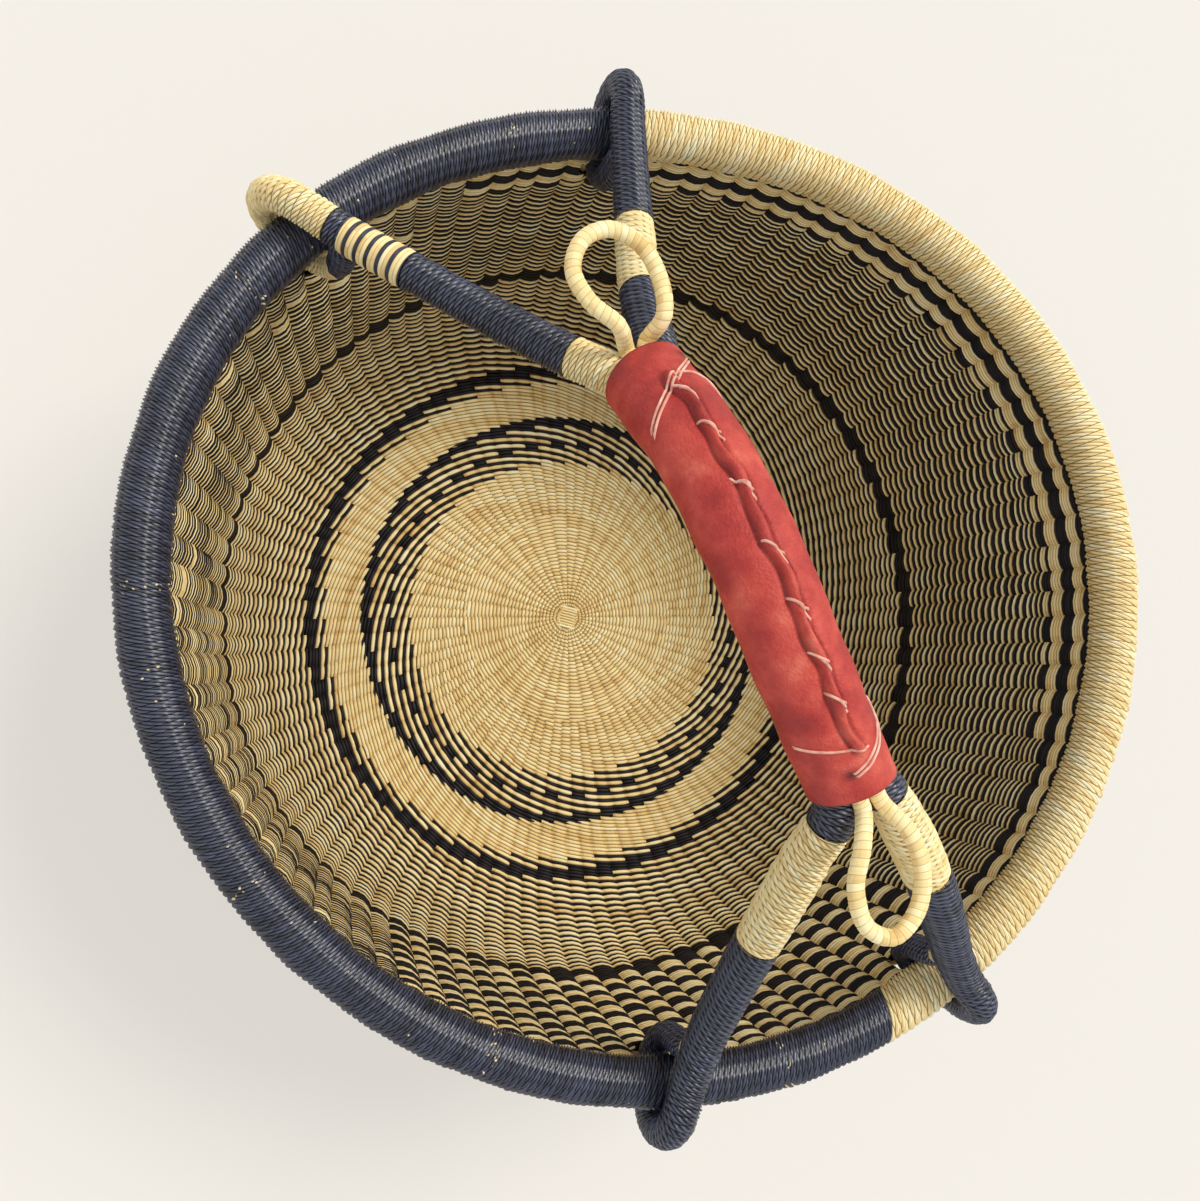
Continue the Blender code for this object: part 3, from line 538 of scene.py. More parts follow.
FEET = {
    "a1": {
        "angle": math.radians(138),
        "grip_end": 0,
        "side": -1,
        "radii": (0.0070, 0.0074, 0.0078),
        "rise_shares": ((0.16, 0.36), (0.36, 0.48), (0.65, 0.67), (0.87, 0.86)),
        "wrap_shares": (0.08, 0.13, 0.34, 0.87),
        "wraps": ("natural", "navy", "striped", "navy", "natural"),
    },
    "a2": {
        "angle": math.radians(97),
        "grip_end": 0,
        "side": 1,
        "radii": (0.0070, 0.0078, 0.0086),
        "rise_shares": ((0.17, 0.34), (0.41, 0.47), (0.67, 0.63), (0.87, 0.83)),
        "wrap_shares": (0.43, 0.70),
        "wraps": ("navy", "natural", "navy"),
    },
    "b1": {
        "angle": math.radians(267),
        "grip_end": 1,
        "side": -1,
        "radii": (0.0074, 0.0086, 0.0088),
        "rise_shares": ((0.19, 0.29), (0.42, 0.47), (0.64, 0.67), (0.86, 0.87)),
        "wrap_shares": (0.55, 0.95),
        "wraps": ("navy", "natural", "navy"),
    },
    "b2": {
        "angle": math.radians(304),
        "grip_end": 1,
        "side": 1,
        "radii": (0.0074, 0.0088, 0.0088),
        "rise_shares": ((0.17, 0.33), (0.36, 0.52), (0.60, 0.74), (0.86, 0.93)),
        "wrap_shares": (0.645, 0.97),
        "wraps": ("navy", "natural", "navy"),
    },
}
LOOP_RADIUS = 0.0029
LOOP_LENGTH = 0.049
LOOP_HALF_WIDTH = 0.014
LOOP_SPREAD = 0.0033
LOOP_LIFT = 0.0078
LOOP_END_GAP = 0.0009
LOOP_EXIT = 0.006
LOOP_STEP = 0.003
SMALL_LOOPS = {
    "a": {
        "grip_end": 0,
        "rise_share": 0.25,
        "outline_shares": (
            (0.36, -0.45),
            (0.57, -0.87),
            (0.81, -0.95),
            (0.98, -0.38),
            (0.98, 0.33),
            (0.83, 0.86),
            (0.56, 1.00),
            (0.31, 0.72),
        ),
    },
    "b": {
        "grip_end": 1,
        "rise_share": 0.21,
        "outline_shares": (
            (0.34, -0.66),
            (0.59, -1.28),
            (0.84, -1.36),
            (0.97, -0.92),
            (0.92, -0.19),
            (0.74, 0.35),
            (0.43, 0.51),
        ),
    },
}


def smooth_through(before, points, after, step_length=SMOOTH_STEP):
    """A smooth curve through the points in short steps, and the place of each point on it."""
    chain = [before, *points, after]
    slopes = []
    for a, b, c in zip(chain, chain[1:], chain[2:]):
        last, following = (b - a).length, (c - b).length
        slope = (b - a) * following / last + (c - b) * last / following
        slopes.append(slope / (last + following))
    curve, places = [], []
    for here, there, start, end in zip(points, points[1:], slopes, slopes[1:]):
        length = (there - here).length
        cuts = max(1, round(length / step_length))
        places.append(len(curve))
        for step in range(cuts):
            t = step / cuts
            blend = t * t * (3 - 2 * t)
            pull = length * ((t - 2 * t**2 + t**3) * start + (t**3 - t**2) * end)
            curve.append(here.lerp(there, blend) + pull)
    places.append(len(curve))
    return [*curve, points[-1]], places


def spot_at(points, distance):
    for step, (here, there) in enumerate(zip(points, points[1:])):
        length = (there - here).length
        if distance <= length:
            return step + distance / length
        distance -= length
    return len(points) - 1


def point_at(points, spot):
    step = min(math.floor(spot), len(points) - 2)
    return points[step].lerp(points[step + 1], spot - step)


def run_length(points):
    return sum((there - here).length for here, there in zip(points, points[1:]))


GRIP_LINE = [
    Vector((x * RIM_RADIUS, y * RIM_RADIUS, RIM_HEIGHT + z * HANDLE_RISE))
    for x, y, z in GRIP_LINE_SHARES
]
GRIP_SIDE = UP.cross(GRIP_LINE[-1] - GRIP_LINE[0]).normalized()
GRIP_ENDS = (
    (GRIP_LINE[0], (GRIP_LINE[0] - GRIP_LINE[1]).normalized()),
    (GRIP_LINE[-1], (GRIP_LINE[-1] - GRIP_LINE[-2]).normalized()),
)
grip_route, _ = smooth_through(
    2 * GRIP_LINE[0] - GRIP_LINE[1],
    GRIP_LINE,
    2 * GRIP_LINE[-1] - GRIP_LINE[-2],
)
GRIP_LENGTH = run_length(grip_route)


def mouth_point(foot):
    tip, outward = GRIP_ENDS[foot["grip_end"]]
    return tip + MOUTH_STEP * outward + foot["side"] * MOUTH_SPREAD * GRIP_SIDE


def foot_frame(foot):
    """The rim's middle under a foot, the level way from it to the grip and its length."""
    low = rim_point(foot["angle"])
    away = mouth_point(foot) - low
    away.z = 0
    return low, away.normalized(), away.length


def bound_radius(foot, share):
    return float(np.interp(share, (0, 0.5, 0.8, 1), (*foot["radii"], MOUTH_RADIUS)))


def hook_route(foot, tail_top):
    """Tail, then round the rim from its inner side under, outside and over: points and radii."""
    low, along, _ = foot_frame(foot)
    points, radii = [], []
    for height in (tail_top, tail_top / 2):
        reach = RIM_CLEARANCE_RADIUS + HOOK_SIDE_GAP + TAIL_RADIUS
        points.append(low + reach * along + height * UP)
        radii.append(TAIL_RADIUS)
    for step in range(HOOK_STEPS + 1):
        share = step / HOOK_STEPS
        turn = share * 3 * math.pi / 2
        radius = TAIL_RADIUS + (foot["radii"][0] - TAIL_RADIUS) * share
        across = (RIM_CLEARANCE_RADIUS + HOOK_SIDE_GAP + radius) * math.cos(turn)
        height = (RIM_CLEARANCE_RADIUS + HOOK_SLACK + radius) * math.sin(turn)
        points.append(low + across * along - height * UP)
        radii.append(radius)
    return points, radii


def leg_controls(foot):
    low, along, length = foot_frame(foot)
    rise = mouth_point(foot).z - low.z
    return [low + x * length * along + z * rise * UP for x, z in foot["rise_shares"]]


def tail_top_under(foot, leg):
    """How far above the rim's middle the tail can rise under its own leg."""
    low, along, length = foot_frame(foot)
    near = RIM_CLEARANCE_RADIUS + HOOK_SIDE_GAP
    for here, there in zip(leg, leg[1:]):
        start, end = ((point - low).dot(along) for point in (here, there))
        if start <= near <= end:
            slope = (there - here).normalized()
            middle = here.lerp(there, (near - start) / (end - start))
            under = bound_radius(foot, near / length) / slope.dot(along)
            return middle.z - low.z - under - TAIL_GAP
    return RIM_CLEARANCE_RADIUS


def core_route(first, last):
    """The whole way of one handle cord, with its bound radii and its key places."""
    first_hook, _ = hook_route(first, RIM_CLEARANCE_RADIUS)
    last_hook, _ = hook_route(last, RIM_CLEARANCE_RADIUS)
    grip = [point + first["side"] * GRIP_CORE_SPREAD * GRIP_SIDE for point in grip_route]
    controls = [
        first_hook[-1],
        *leg_controls(first),
        mouth_point(first),
        *grip[::3],
        mouth_point(last),
        *reversed(leg_controls(last)),
        last_hook[-1],
    ]
    middle, places = smooth_through(first_hook[-2], controls, last_hook[-2])
    first_mouth = places[len(first["rise_shares"]) + 1]
    last_mouth = places[-len(last["rise_shares"]) - 2]
    first_hook, first_radii = hook_route(first, tail_top_under(first, middle))
    last_hook, last_radii = hook_route(last, tail_top_under(last, middle[::-1]))
    radii = []
    for step, point in enumerate(middle):
        foot = first if step <= first_mouth else last if step >= last_mouth else None
        if foot is None:
            radii.append(GRIP_CORE_BOUND)
        else:
            low, along, length = foot_frame(foot)
            radii.append(bound_radius(foot, (point - low).dot(along) / length))
    start = len(first_hook) - 1
    points = first_hook[:-1] + middle + last_hook[-2::-1]
    radii = first_radii[:-1] + radii + last_radii[-2::-1]
    ends = {
        "first": (start, start + first_mouth),
        "last": (start + len(middle) - 1, start + last_mouth),
    }
    return points, radii, ends


def grip_up(spot):
    """Upwards, square to the level way across the grip and to its line at a spot."""
    last_spot = len(grip_route) - 1
    step = min(math.floor(spot), last_spot - 1)
    ups = []
    for corner in (step, step + 1):
        before = grip_route[corner] - grip_route[max(corner - 1, 0)]
        after = grip_route[min(corner + 1, last_spot)] - grip_route[corner]
        onward = before.normalized() + after.normalized()
        ups.append(onward.cross(GRIP_SIDE).normalized())
    return ups[0].lerp(ups[1], spot - step).normalized()


# Materials.
def node(tree, kind, **settings):
    """A node with its settings; inputs named in_... take a value or another node's socket."""
    made = tree.nodes.new(kind)
    for key, value in settings.items():
        if not key.startswith("in_"):
            setattr(made, key, value)
            continue
        number = key[3:]
        socket = made.inputs[int(number) if number.isdigit() else number.replace("_", " ")]
        if isinstance(value, bpy.types.NodeSocket):
            tree.links.new(value, socket)
        else:
            socket.default_value = value
    return made


def math_node(tree, operation, *values):
    made = node(tree, "ShaderNodeMath", operation=operation)
    for socket, value in zip(made.inputs, values):
        if isinstance(value, bpy.types.NodeSocket):
            tree.links.new(value, socket)
        else:
            socket.default_value = value
    return made.outputs[0]


def ramp(tree, factor, *stops):
    made = node(tree, "ShaderNodeValToRGB", in_0=factor)
    elements = made.color_ramp.elements
    while len(elements) < len(stops):
        elements.new(0.5)
    for element, (place, colour) in zip(elements, stops):
        element.position = place
        element.color = (*colour, 1)
    return made.outputs[0]


def linear(*colour):
    """A colour given as 0 to 255 turned into the shader's own scale."""
    shares = [value / 255 for value in colour]
    return tuple(v / 12.92 if v <= 0.04045 else ((v + 0.055) / 1.055) ** 2.4 for v in shares)


def new_skin(name):
    """A material, its nodes and its main shader."""
    skin = bpy.data.materials.new(name)
    skin.use_nodes = True
    return skin, skin.node_tree, skin.node_tree.nodes["Principled BSDF"]


def noise(tree, place, scale, detail, **settings):
    return node(
        tree, "ShaderNodeTexNoise", in_Vector=place, in_Scale=scale, in_Detail=detail, **settings
    ).outputs[0]


def value_map(tree, value, low, high, start, end):
    return node(
        tree, "ShaderNodeMapRange", in_0=value, in_1=low, in_2=high, in_3=start, in_4=end
    ).outputs[0]


def add_bump(tree, shader, strength, distance, height):
    made = node(
        tree, "ShaderNodeBump", in_Strength=strength, in_Distance=distance, in_Height=height
    )
    tree.links.new(made.outputs[0], shader.inputs["Normal"])


def from_middle(tree, value):
    """How far a value lies from the middle between two whole numbers."""
    part = math_node(tree, "FRACT", value)
    return math_node(tree, "ABSOLUTE", math_node(tree, "SUBTRACT", part, 0.5))


def show_to_camera(tree, ordinary, seen, end, share=1.0):
    """For the camera alone, mix a share of another shader into the ordinary one."""
    direct = node(tree, "ShaderNodeLightPath").outputs["Is Camera Ray"]
    mix = node(tree, "ShaderNodeMixShader", in_0=math_node(tree, "MULTIPLY", direct, share))
    tree.links.new(ordinary.outputs[0], mix.inputs[1])
    tree.links.new(seen.outputs[0], mix.inputs[2])
    tree.links.new(mix.outputs[0], tree.nodes[end].inputs["Surface"])


NATURAL_GLOSS = 0.14
FIBRE_SLANT = 0.28
FIBRES_PER_STRAND = 7.0
TONE_SHARE = 0.52
BLOTCH_SHARE = 0.30
FIBRE_SHARE = 0.34


def straw(name, dyes, roughness, gloss, crevice_shade, edge_starts=(0.3, 0.3), lift=0, ply_ends=False):
    """Straw whose strands are natural or dyed, each a little lighter or darker than the next, with
    painted shade in the crevices between strands.
    """
    skin, tree, shader = new_skin(name)
    dye = node(tree, "ShaderNodeAttribute", attribute_name="dye").outputs["Fac"]
    tone = node(tree, "ShaderNodeAttribute", attribute_name="tone").outputs["Fac"]
    place = node(tree, "ShaderNodeUVMap", uv_map="strand").outputs[0]
    parts = node(tree, "ShaderNodeSeparateXYZ", in_0=place)
    along, line = parts.outputs[0], parts.outputs[1]
    slanted = math_node(tree, "ADD", math_node(tree, "MULTIPLY", along, FIBRE_SLANT), line)
    fine_line = math_node(tree, "MULTIPLY", line, FIBRES_PER_STRAND)
    fibre_place = node(tree, "ShaderNodeCombineXYZ", in_0=slanted, in_1=fine_line).outputs[0]
    fibre = noise(tree, fibre_place, 1.0, 3.0)
    spots = node(tree, "ShaderNodeTexCoord").outputs["Object"]
    blotch = noise(tree, spots, 38.0, 4.0)
    mixed = math_node(tree, "MULTIPLY", blotch, BLOTCH_SHARE)
    mixed = math_node(tree, "MULTIPLY_ADD", tone, TONE_SHARE, mixed)
    mixed = math_node(tree, "MULTIPLY_ADD", fibre, FIBRE_SHARE, mixed)
    mixed = math_node(tree, "ADD", mixed, lift)
    natural = ramp(
        tree,
        mixed,
        (0.18, linear(214, 174, 106)),
        (0.38, linear(241, 211, 146)),
        (0.60, linear(255, 232, 172)),
        (0.84, linear(255, 246, 204)),
    )
    dyed = ramp(tree, mixed, (0.25, dyes[0]), (0.85, dyes[1]))
    base = node(tree, "ShaderNodeMix", data_type="RGBA", in_0=dye, in_6=natural, in_7=dyed)
    # Painted shade: near each strand's edges, and near the plies' ends when ply_ends is set, the
    # colour darkens towards a crevice colour and the sheen fades.
    start = math_node(
        tree, "MULTIPLY_ADD", dye, edge_starts[1] - edge_starts[0], edge_starts[0]
    )
    shade = value_map(tree, from_middle(tree, line), start, 0.5, 1.0, crevice_shade)
    if ply_ends:
        turns = math_node(tree, "DIVIDE", along, PLY_LENGTH * MM)
        end_shade = value_map(tree, from_middle(tree, turns), 0.4, 0.5, 1.0, crevice_shade)
        shade = math_node(tree, "MULTIPLY", shade, end_shade)
    crevice_shade_colour = node(tree, "ShaderNodeMix", data_type="RGBA", in_0=dye)
    crevice_shade_colour.inputs[6].default_value = (*linear(112, 72, 32), 1)
    crevice_shade_colour.inputs[7].default_value = (*linear(2, 2, 3), 1)
    shaded_colour = node(tree, "ShaderNodeMix", data_type="RGBA", in_0=shade)
    tree.links.new(crevice_shade_colour.outputs[2], shaded_colour.inputs[6])
    tree.links.new(base.outputs[2], shaded_colour.inputs[7])
    tree.links.new(shaded_colour.outputs[2], shader.inputs["Base Color"])
    shader.inputs["Roughness"].default_value = roughness
    shine = math_node(tree, "MULTIPLY_ADD", dye, gloss - NATURAL_GLOSS, NATURAL_GLOSS)
    shine = math_node(tree, "MULTIPLY", shine, shade)
    tree.links.new(shine, shader.inputs["Specular IOR Level"])
    add_bump(tree, shader, 0.5, 0.0002, fibre)
    return skin


BLACKS = (linear(14, 11, 12), linear(40, 34, 38))
NAVIES = (linear(14, 15, 24), linear(78, 82, 106))
weave_straw = straw("woven_straw", BLACKS, 0.5, 0.25, 0.06, edge_starts=(0.26, 0.26))
bound_straw = straw(
    "bound_straw", NAVIES, 0.36, 1.0, 0.02, edge_starts=(0.32, 0.16), ply_ends=True
)
loop_straw = straw("loop_straw", NAVIES, 0.5, 0.5, 0.45, edge_starts=(0.42, 0.42), lift=-0.08)


# Painted shade: how far the creases and slits are darkened.
CREASE_SHADE = 0.62


def leather():
    """Soft red goatskin: mottled colour, fine grain, and painted shade in the creases and slits.
    """
    skin, tree, shader = new_skin("red_leather")
    spots = node(tree, "ShaderNodeTexCoord").outputs["Object"]
    cloud = noise(tree, spots, 55.0, 6.0, in_Roughness=0.6)
    grain = node(tree, "ShaderNodeTexVoronoi", in_Vector=spots, in_Scale=1100.0).outputs[0]
    colour = ramp(
        tree,
        cloud,
        (0.24, linear(131, 30, 30)),
        (0.46, linear(177, 52, 45)),
        (0.60, linear(201, 76, 62)),
        (0.78, linear(228, 122, 100)),
    )
    # Painted shade along the creases and at the slits, mixed towards a dark red.
    painted_crease_shade = node(tree, "ShaderNodeAttribute", attribute_name="crease").outputs["Fac"]
    crease_shaded = node(tree, "ShaderNodeMix", data_type="RGBA")
    tree.links.new(math_node(tree, "MULTIPLY", painted_crease_shade, CREASE_SHADE), crease_shaded.inputs[0])
    tree.links.new(colour, crease_shaded.inputs[6])
    crease_shaded.inputs[7].default_value = (*linear(74, 14, 18), 1)
    tree.links.new(crease_shaded.outputs[2], shader.inputs["Base Color"])
    rough = value_map(tree, cloud, 0.2, 0.8, 0.45, 0.68)
    tree.links.new(rough, shader.inputs["Roughness"])
    shader.inputs["Specular IOR Level"].default_value = 0.42
    height = math_node(tree, "MULTIPLY_ADD", cloud, 1.6, grain)
    add_bump(tree, shader, 0.55, 0.0004, height)
    return skin


def thong():
    """Thin pale leather strip."""
    skin, tree, shader = new_skin("pale_thong")
    spots = node(tree, "ShaderNodeTexCoord").outputs["Object"]
    cloud = noise(tree, spots, 300.0, 4.0)
    colour = ramp(
        tree,
        cloud,
        (0.3, linear(204, 132, 112)),
        (0.5, linear(226, 168, 146)),
        (0.7, linear(240, 200, 180)),
    )
    tree.links.new(colour, shader.inputs["Base Color"])
    shader.inputs["Roughness"].default_value = 0.6
    add_bump(tree, shader, 0.4, 0.0002, cloud)
    return skin


red_leather = leather()
pale_thong = thong()


def dress(piece, material):
    piece.data.materials.clear()
    piece.data.materials.append(material)


def give(piece, material, slot, body, *cad_nodes):
    """Put a piece on its body, with its material, in place of solids; its slot is not used."""
    dress(piece, material)
    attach(piece, body)
    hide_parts(*cad_nodes)


# Camera at the photograph's place.
camera_data = bpy.data.cameras.new("camera")
camera_data.lens = 36
camera_data.sensor_width = 36
camera_data.sensor_fit = "HORIZONTAL"
camera_data.clip_start = 0.01
camera = add_object("camera", camera_data)
CAMERA_RIGHT = Vector((0.9605, -0.0224, 0.2775)).normalized()
CAMERA_BACK = Vector((-0.2784, -0.0773, 0.9574)).normalized()
CAMERA_PLACE = Vector((-0.1681, -0.0426, 0.6481))
camera_turn = Matrix((CAMERA_RIGHT, CAMERA_BACK.cross(CAMERA_RIGHT), CAMERA_BACK)).transposed()
camera.matrix_world = Matrix.Translation(CAMERA_PLACE) @ camera_turn.to_4x4()
bpy.context.scene.camera = camera

# Inner weave, band by band.
hook_holes = []
for foot in FEET.values():
    low, along, _ = foot_frame(foot)
    radius = TAIL_RADIUS + (foot["radii"][0] - TAIL_RADIUS) / 3
    hook_holes.append(
        (
            low - (RIM_CLEARANCE_RADIUS + HOOK_SLACK + radius) * UP,
            UP.cross(along),
            radius + HOLE_SIDE_CLEARANCE,
            radius + HOLE_RISE_CLEARANCE,
        )
    )

INNER_BANDS = (
    ("centre", CENTRE_GRID, 0, CENTRE_END, natural_centre, "natural", "centre_natural"),
    ("disc", BASE_GRID, 0, DISC_END, base_dye, "natural", "centre_natural"),
    ("dashes", BASE_GRID, DISC_END, BASE_END, base_dye, "striped", "band_dashed"),
    ("pale_band", WALL_GRID, 0, PALE_END, wall_dye, "natural", "band_natural"),
    ("dark_ring", WALL_GRID, PALE_END, RING_END, wall_dye, "black", "ring_black"),
    ("corner", WALL_GRID, RING_END, LINE_ROW, wall_dye, "striped", "corner_striped"),
    ("line", WALL_GRID, LINE_ROW, UPPER_ROW, wall_dye, "black", "wall_line"),
    ("wall", WALL_GRID, UPPER_ROW, RIM_BAND_ROW, wall_dye, "striped", "wall_striped"),
    ("under_rim", WALL_GRID, RIM_BAND_ROW, TOP_ROW + 1, wall_dye, "natural", "rim_bands"),
)
for name, grid, first, last, rule, finish, cad_node in INNER_BANDS:
    holes = hook_holes if last > HOLE_ROW else ()
    band = weave(f"weave_{name}", grid, first, last, rule, holes=holes)
    give(band, weave_straw, f"{finish}_straw", "basket", f"weave_{cad_node}")

# Start of the weave, inside and outside: a small square of strands laid over the crossing.
START_STRANDS = 8
START_LENGTH_CUTS = 8
START_STRAND_CUTS = len(CREST_GRAINS)
START_TURN = math.radians(-15)
START_EDGE_TONE = 1.0
START_TONE = 0.35
mesh, column, cut = grid_numbers(START_LENGTH_CUTS + 1, START_STRANDS * START_STRAND_CUTS + 1, 0)
row, grain = cut // START_STRAND_CUTS, np.array(CREST_GRAINS)[cut % START_STRAND_CUTS]
height = np.array(CREST_HEIGHTS)[cut % START_STRAND_CUTS]
lengthwise = (column / START_LENGTH_CUTS - 0.5) * START_PATCH
sideways = ((row + grain) / START_STRANDS - 0.5) * START_PATCH
bow = 1 - (2 * column / START_LENGTH_CUTS - 1) ** 4
rise = SHEET_OFFSET + STRAND_RELIEF * (height + 1) * bow
face_row = row[face_corners(mesh)].min(axis=1)
at_edge = (face_row == 0) | (face_row == START_STRANDS - 1)
tone = np.where(at_edge, START_EDGE_TONE, START_TONE)
for name, lift, cad_node in (
    ("weave_start", WALL_MIDDLE + rise, "weave_centre_natural"),
    ("outer_start", np.maximum(WALL_MIDDLE - rise, BASE_LIFT), "outer_weave"),
):
    points = np.stack(
        (
            lengthwise * math.cos(START_TURN) - sideways * math.sin(START_TURN),
            lengthwise * math.sin(START_TURN) + sideways * math.cos(START_TURN),
            lift,
        ),
        axis=1,
    )
    start = finish_sheet(
        name, mesh.copy(), points, lengthwise, row + grain, np.zeros(len(tone)), tone,
        flip=name == "outer_start",
    )
    give(start, weave_straw, "natural_straw", "basket", cad_node)

# Outer weave, in four sheets.
OUTER_BANDS = (
    ("outer_centre", CENTRE_GRID, 0, CENTRE_END, natural_centre),
    ("outer_base", BASE_GRID, 0, BASE_END, base_dye),
    ("outer_corner", WALL_GRID, 0, UPPER_ROW, wall_dye),
    ("outer_wall", WALL_GRID, UPPER_ROW, TOP_ROW + 1, wall_dye),
)
for name, grid, first, last, rule in OUTER_BANDS:
    holes = hook_holes if last > HOLE_ROW else ()
    band = weave(name, grid, first, last, rule, inside=False, holes=holes)
    give(band, weave_straw, "natural_straw", "basket", "outer_weave")

# Ribs: thin round straws from the start of the weave up into the rim, or up to a hook's hole.
RIB_RADIUS = 0.00065
RIB_POINTS = 24
RIB_TOP = 0.186
RIB_STARTS = (along_at_radius(0.08), along_at_radius(0.012))
ribs = round_curve("ribs", RIB_RADIUS, 1)
for rib in range(WALL_CELLS):
    turn = 2 * math.pi * rib / WALL_CELLS
    top = RIB_TOP
    for centre, _, half_width, half_height in hook_holes:
        sideways = centre.x * math.sin(turn) - centre.y * math.cos(turn)
        ahead = centre.x * math.cos(turn) + centre.y * math.sin(turn)
        if ahead > 0 and abs(sideways) < half_width + 2 * RIB_RADIUS:
            top = centre.z - half_height - 2 * RIB_RADIUS
    along = np.linspace(RIB_STARTS[rib % 2], along_at_height(top), RIB_POINTS)
    add_line(ribs, on_wall(np.full(RIB_POINTS, turn), along, 0))
give(add_object("ribs", ribs), loop_straw, "natural_straw", "basket", "stakes")

# Rim binding: navy straw round one half, natural round the other.
NAVY_PLY = 0.00128
NAVY_DRIFT = 15
NATURAL_PLY = 0.0016
NATURAL_DRIFT = 12
RIM_SLANT = 0.0192
RIM_AROUND = 76
RIM_GROOVE = 0.0012
FLECK_CHANCE = 0.0012
FLECK_CLUSTER_CHANCE = 0.05
FLECK_SPACING = 95
FLECK_OFFSET = 40
FLECK_SWING = 9
FLECK_SWING_ROWS = 90
FLECK_REACH = 1.6
FLECK_DYE = 0.1
RIM_BUMPS = ((0.0002, 23, 1), (0.00015, 41, 0))
RIM_NUDGE = 0.001


def rim_at(distance):
    angle = distance / RIM_RADIUS
    middle = rim_line(angle)
    onward = rim_line(angle + RIM_NUDGE) - rim_line(angle - RIM_NUDGE)
    onward /= np.linalg.norm(onward, axis=1)[:, None]
    outward = np.cross(onward, np.array((0, 0, 1.0)))
    outward /= np.linalg.norm(outward, axis=1)[:, None]
    upward = np.cross(outward, onward)
    upward *= np.sign(upward[:, 2:])
    radius = RIM_COVER_RADIUS
    for reach, turns, start in RIM_BUMPS:
        radius = radius + reach * np.sin(turns * angle + start)
    return middle, outward, upward, radius


def navy_rim(row, turn):
    """Navy, with pale flecks that gather in a few lines across the rim."""
    chance = np.random.default_rng(3).uniform(0, 1, len(row))
    distance = row + NAVY_DRIFT * turn
    line = FLECK_SWING * np.sin(distance / FLECK_SWING_ROWS)
    near = np.abs(distance % FLECK_SPACING - FLECK_OFFSET - line) < FLECK_REACH
    chance_here = np.where(near, FLECK_CLUSTER_CHANCE, FLECK_CHANCE)
    return np.where(chance < chance_here, FLECK_DYE, 1.0)


def natural_rim(row, turn):
    return np.zeros(len(row))


PLY_GRAINS = (0, 0.5)
PLY_HEIGHTS = (0, 1)
ROUND_GRAINS = (0, 0.3, 0.7)
ROUND_HEIGHTS = (0, 1, 1)
navy_start = NAVY_START * RIM_RADIUS - RIM_SLANT / 2
navy_end = NAVY_END * RIM_RADIUS - RIM_SLANT / 2
navy_binding = wound(
    "rim_binding_navy", rim_at, navy_start, navy_end, NAVY_PLY, NAVY_DRIFT, RIM_AROUND,
    PLY_GRAINS, PLY_HEIGHTS, RIM_GROOVE, navy_rim, clamp=False, flip=True,
)
give(navy_binding, bound_straw, "navy_straw", "basket", "rim_wrap_navy")
natural_binding = wound(
    "rim_binding_natural", rim_at, navy_end, navy_start + math.tau * RIM_RADIUS, NATURAL_PLY,
    NATURAL_DRIFT, RIM_AROUND, ROUND_GRAINS, ROUND_HEIGHTS, RIM_GROOVE, natural_rim,
    clamp=False, flip=True,
)
give(natural_binding, bound_straw, "natural_straw", "basket", "rim_wrap_natural")

# Legs and hooks.
LEG_PLY = 0.0013
LEG_DRIFT = -14
LEG_AROUND = 56
LEG_GROOVE = 0.0010
STRIPE_PLY = 0.0016
STRIPE_DRIFT = -1
STRIPE_GROOVE = 0.0006
# Painted shade: the length of the hook's tail coloured dark.
TAIL_SHADE_LENGTH = 0.034
MOUTH_OVERRUN = 5
MOUTH_TUCK = 0.009
TAIL_DOME = 0.003


def navy_leg(row, turn):
    return np.ones(len(row))


def striped_leg(row, turn):
    return (row % 3 == 2).astype(float)


def tail_shade_rule(row, turn):
    """Painted shade: the hook's tail, in the shade under its leg, is coloured dark; the rest of
    its binding natural.
    """
    return (row * LEG_PLY < TAIL_SHADE_LENGTH).astype(float)


LEG_RULES = {"natural": natural_rim, "navy": navy_leg, "striped": striped_leg}
LEG_CORD = (LEG_PLY, LEG_DRIFT, LEG_GROOVE, bound_straw)
STRIPE_CORD = (STRIPE_PLY, STRIPE_DRIFT, STRIPE_GROOVE, loop_straw)
CORDS = (("a1", "b1"), ("a2", "b2"))
for first_name, last_name in CORDS:
    points, radii, ends = core_route(FEET[first_name], FEET[last_name])
    for foot_name, key in ((first_name, "first"), (last_name, "last")):
        foot = FEET[foot_name]
        crest, mouth = ends[key]
        forward = mouth > crest
        route = points if forward else points[::-1]
        thick = radii if forward else radii[::-1]
        last = len(points) - 1
        crest, mouth = (crest, mouth) if forward else (last - crest, last - mouth)
        before = run_length(route[: crest + 1])
        length = run_length(route[crest : mouth + 1])
        kept = slice(mouth + MOUTH_OVERRUN)
        at, _ = route_frame(route[kept], thick[kept], GRIP_SIDE)
        joints = [0, *(before + share * length for share in foot["wrap_shares"])]
        joints.append(before + length + MOUTH_TUCK)
        for number, finish in enumerate(foot["wraps"]):
            ply, drift, groove, skin = STRIPE_CORD if finish == "striped" else LEG_CORD
            at_tail = number == 0
            part = f"{foot_name}_{number + 1}"
            piece = wound(
                f"binding_{part}", at, joints[number], joints[number + 1], ply, drift,
                LEG_AROUND, ROUND_GRAINS, ROUND_HEIGHTS, groove,
                tail_shade_rule if at_tail and finish == "natural" else LEG_RULES[finish],
                dome=(TAIL_DOME, True) if at_tail else None,
            )
            give(piece, skin, f"{finish}_straw", "handle", f"wrap_{part}_{finish}")

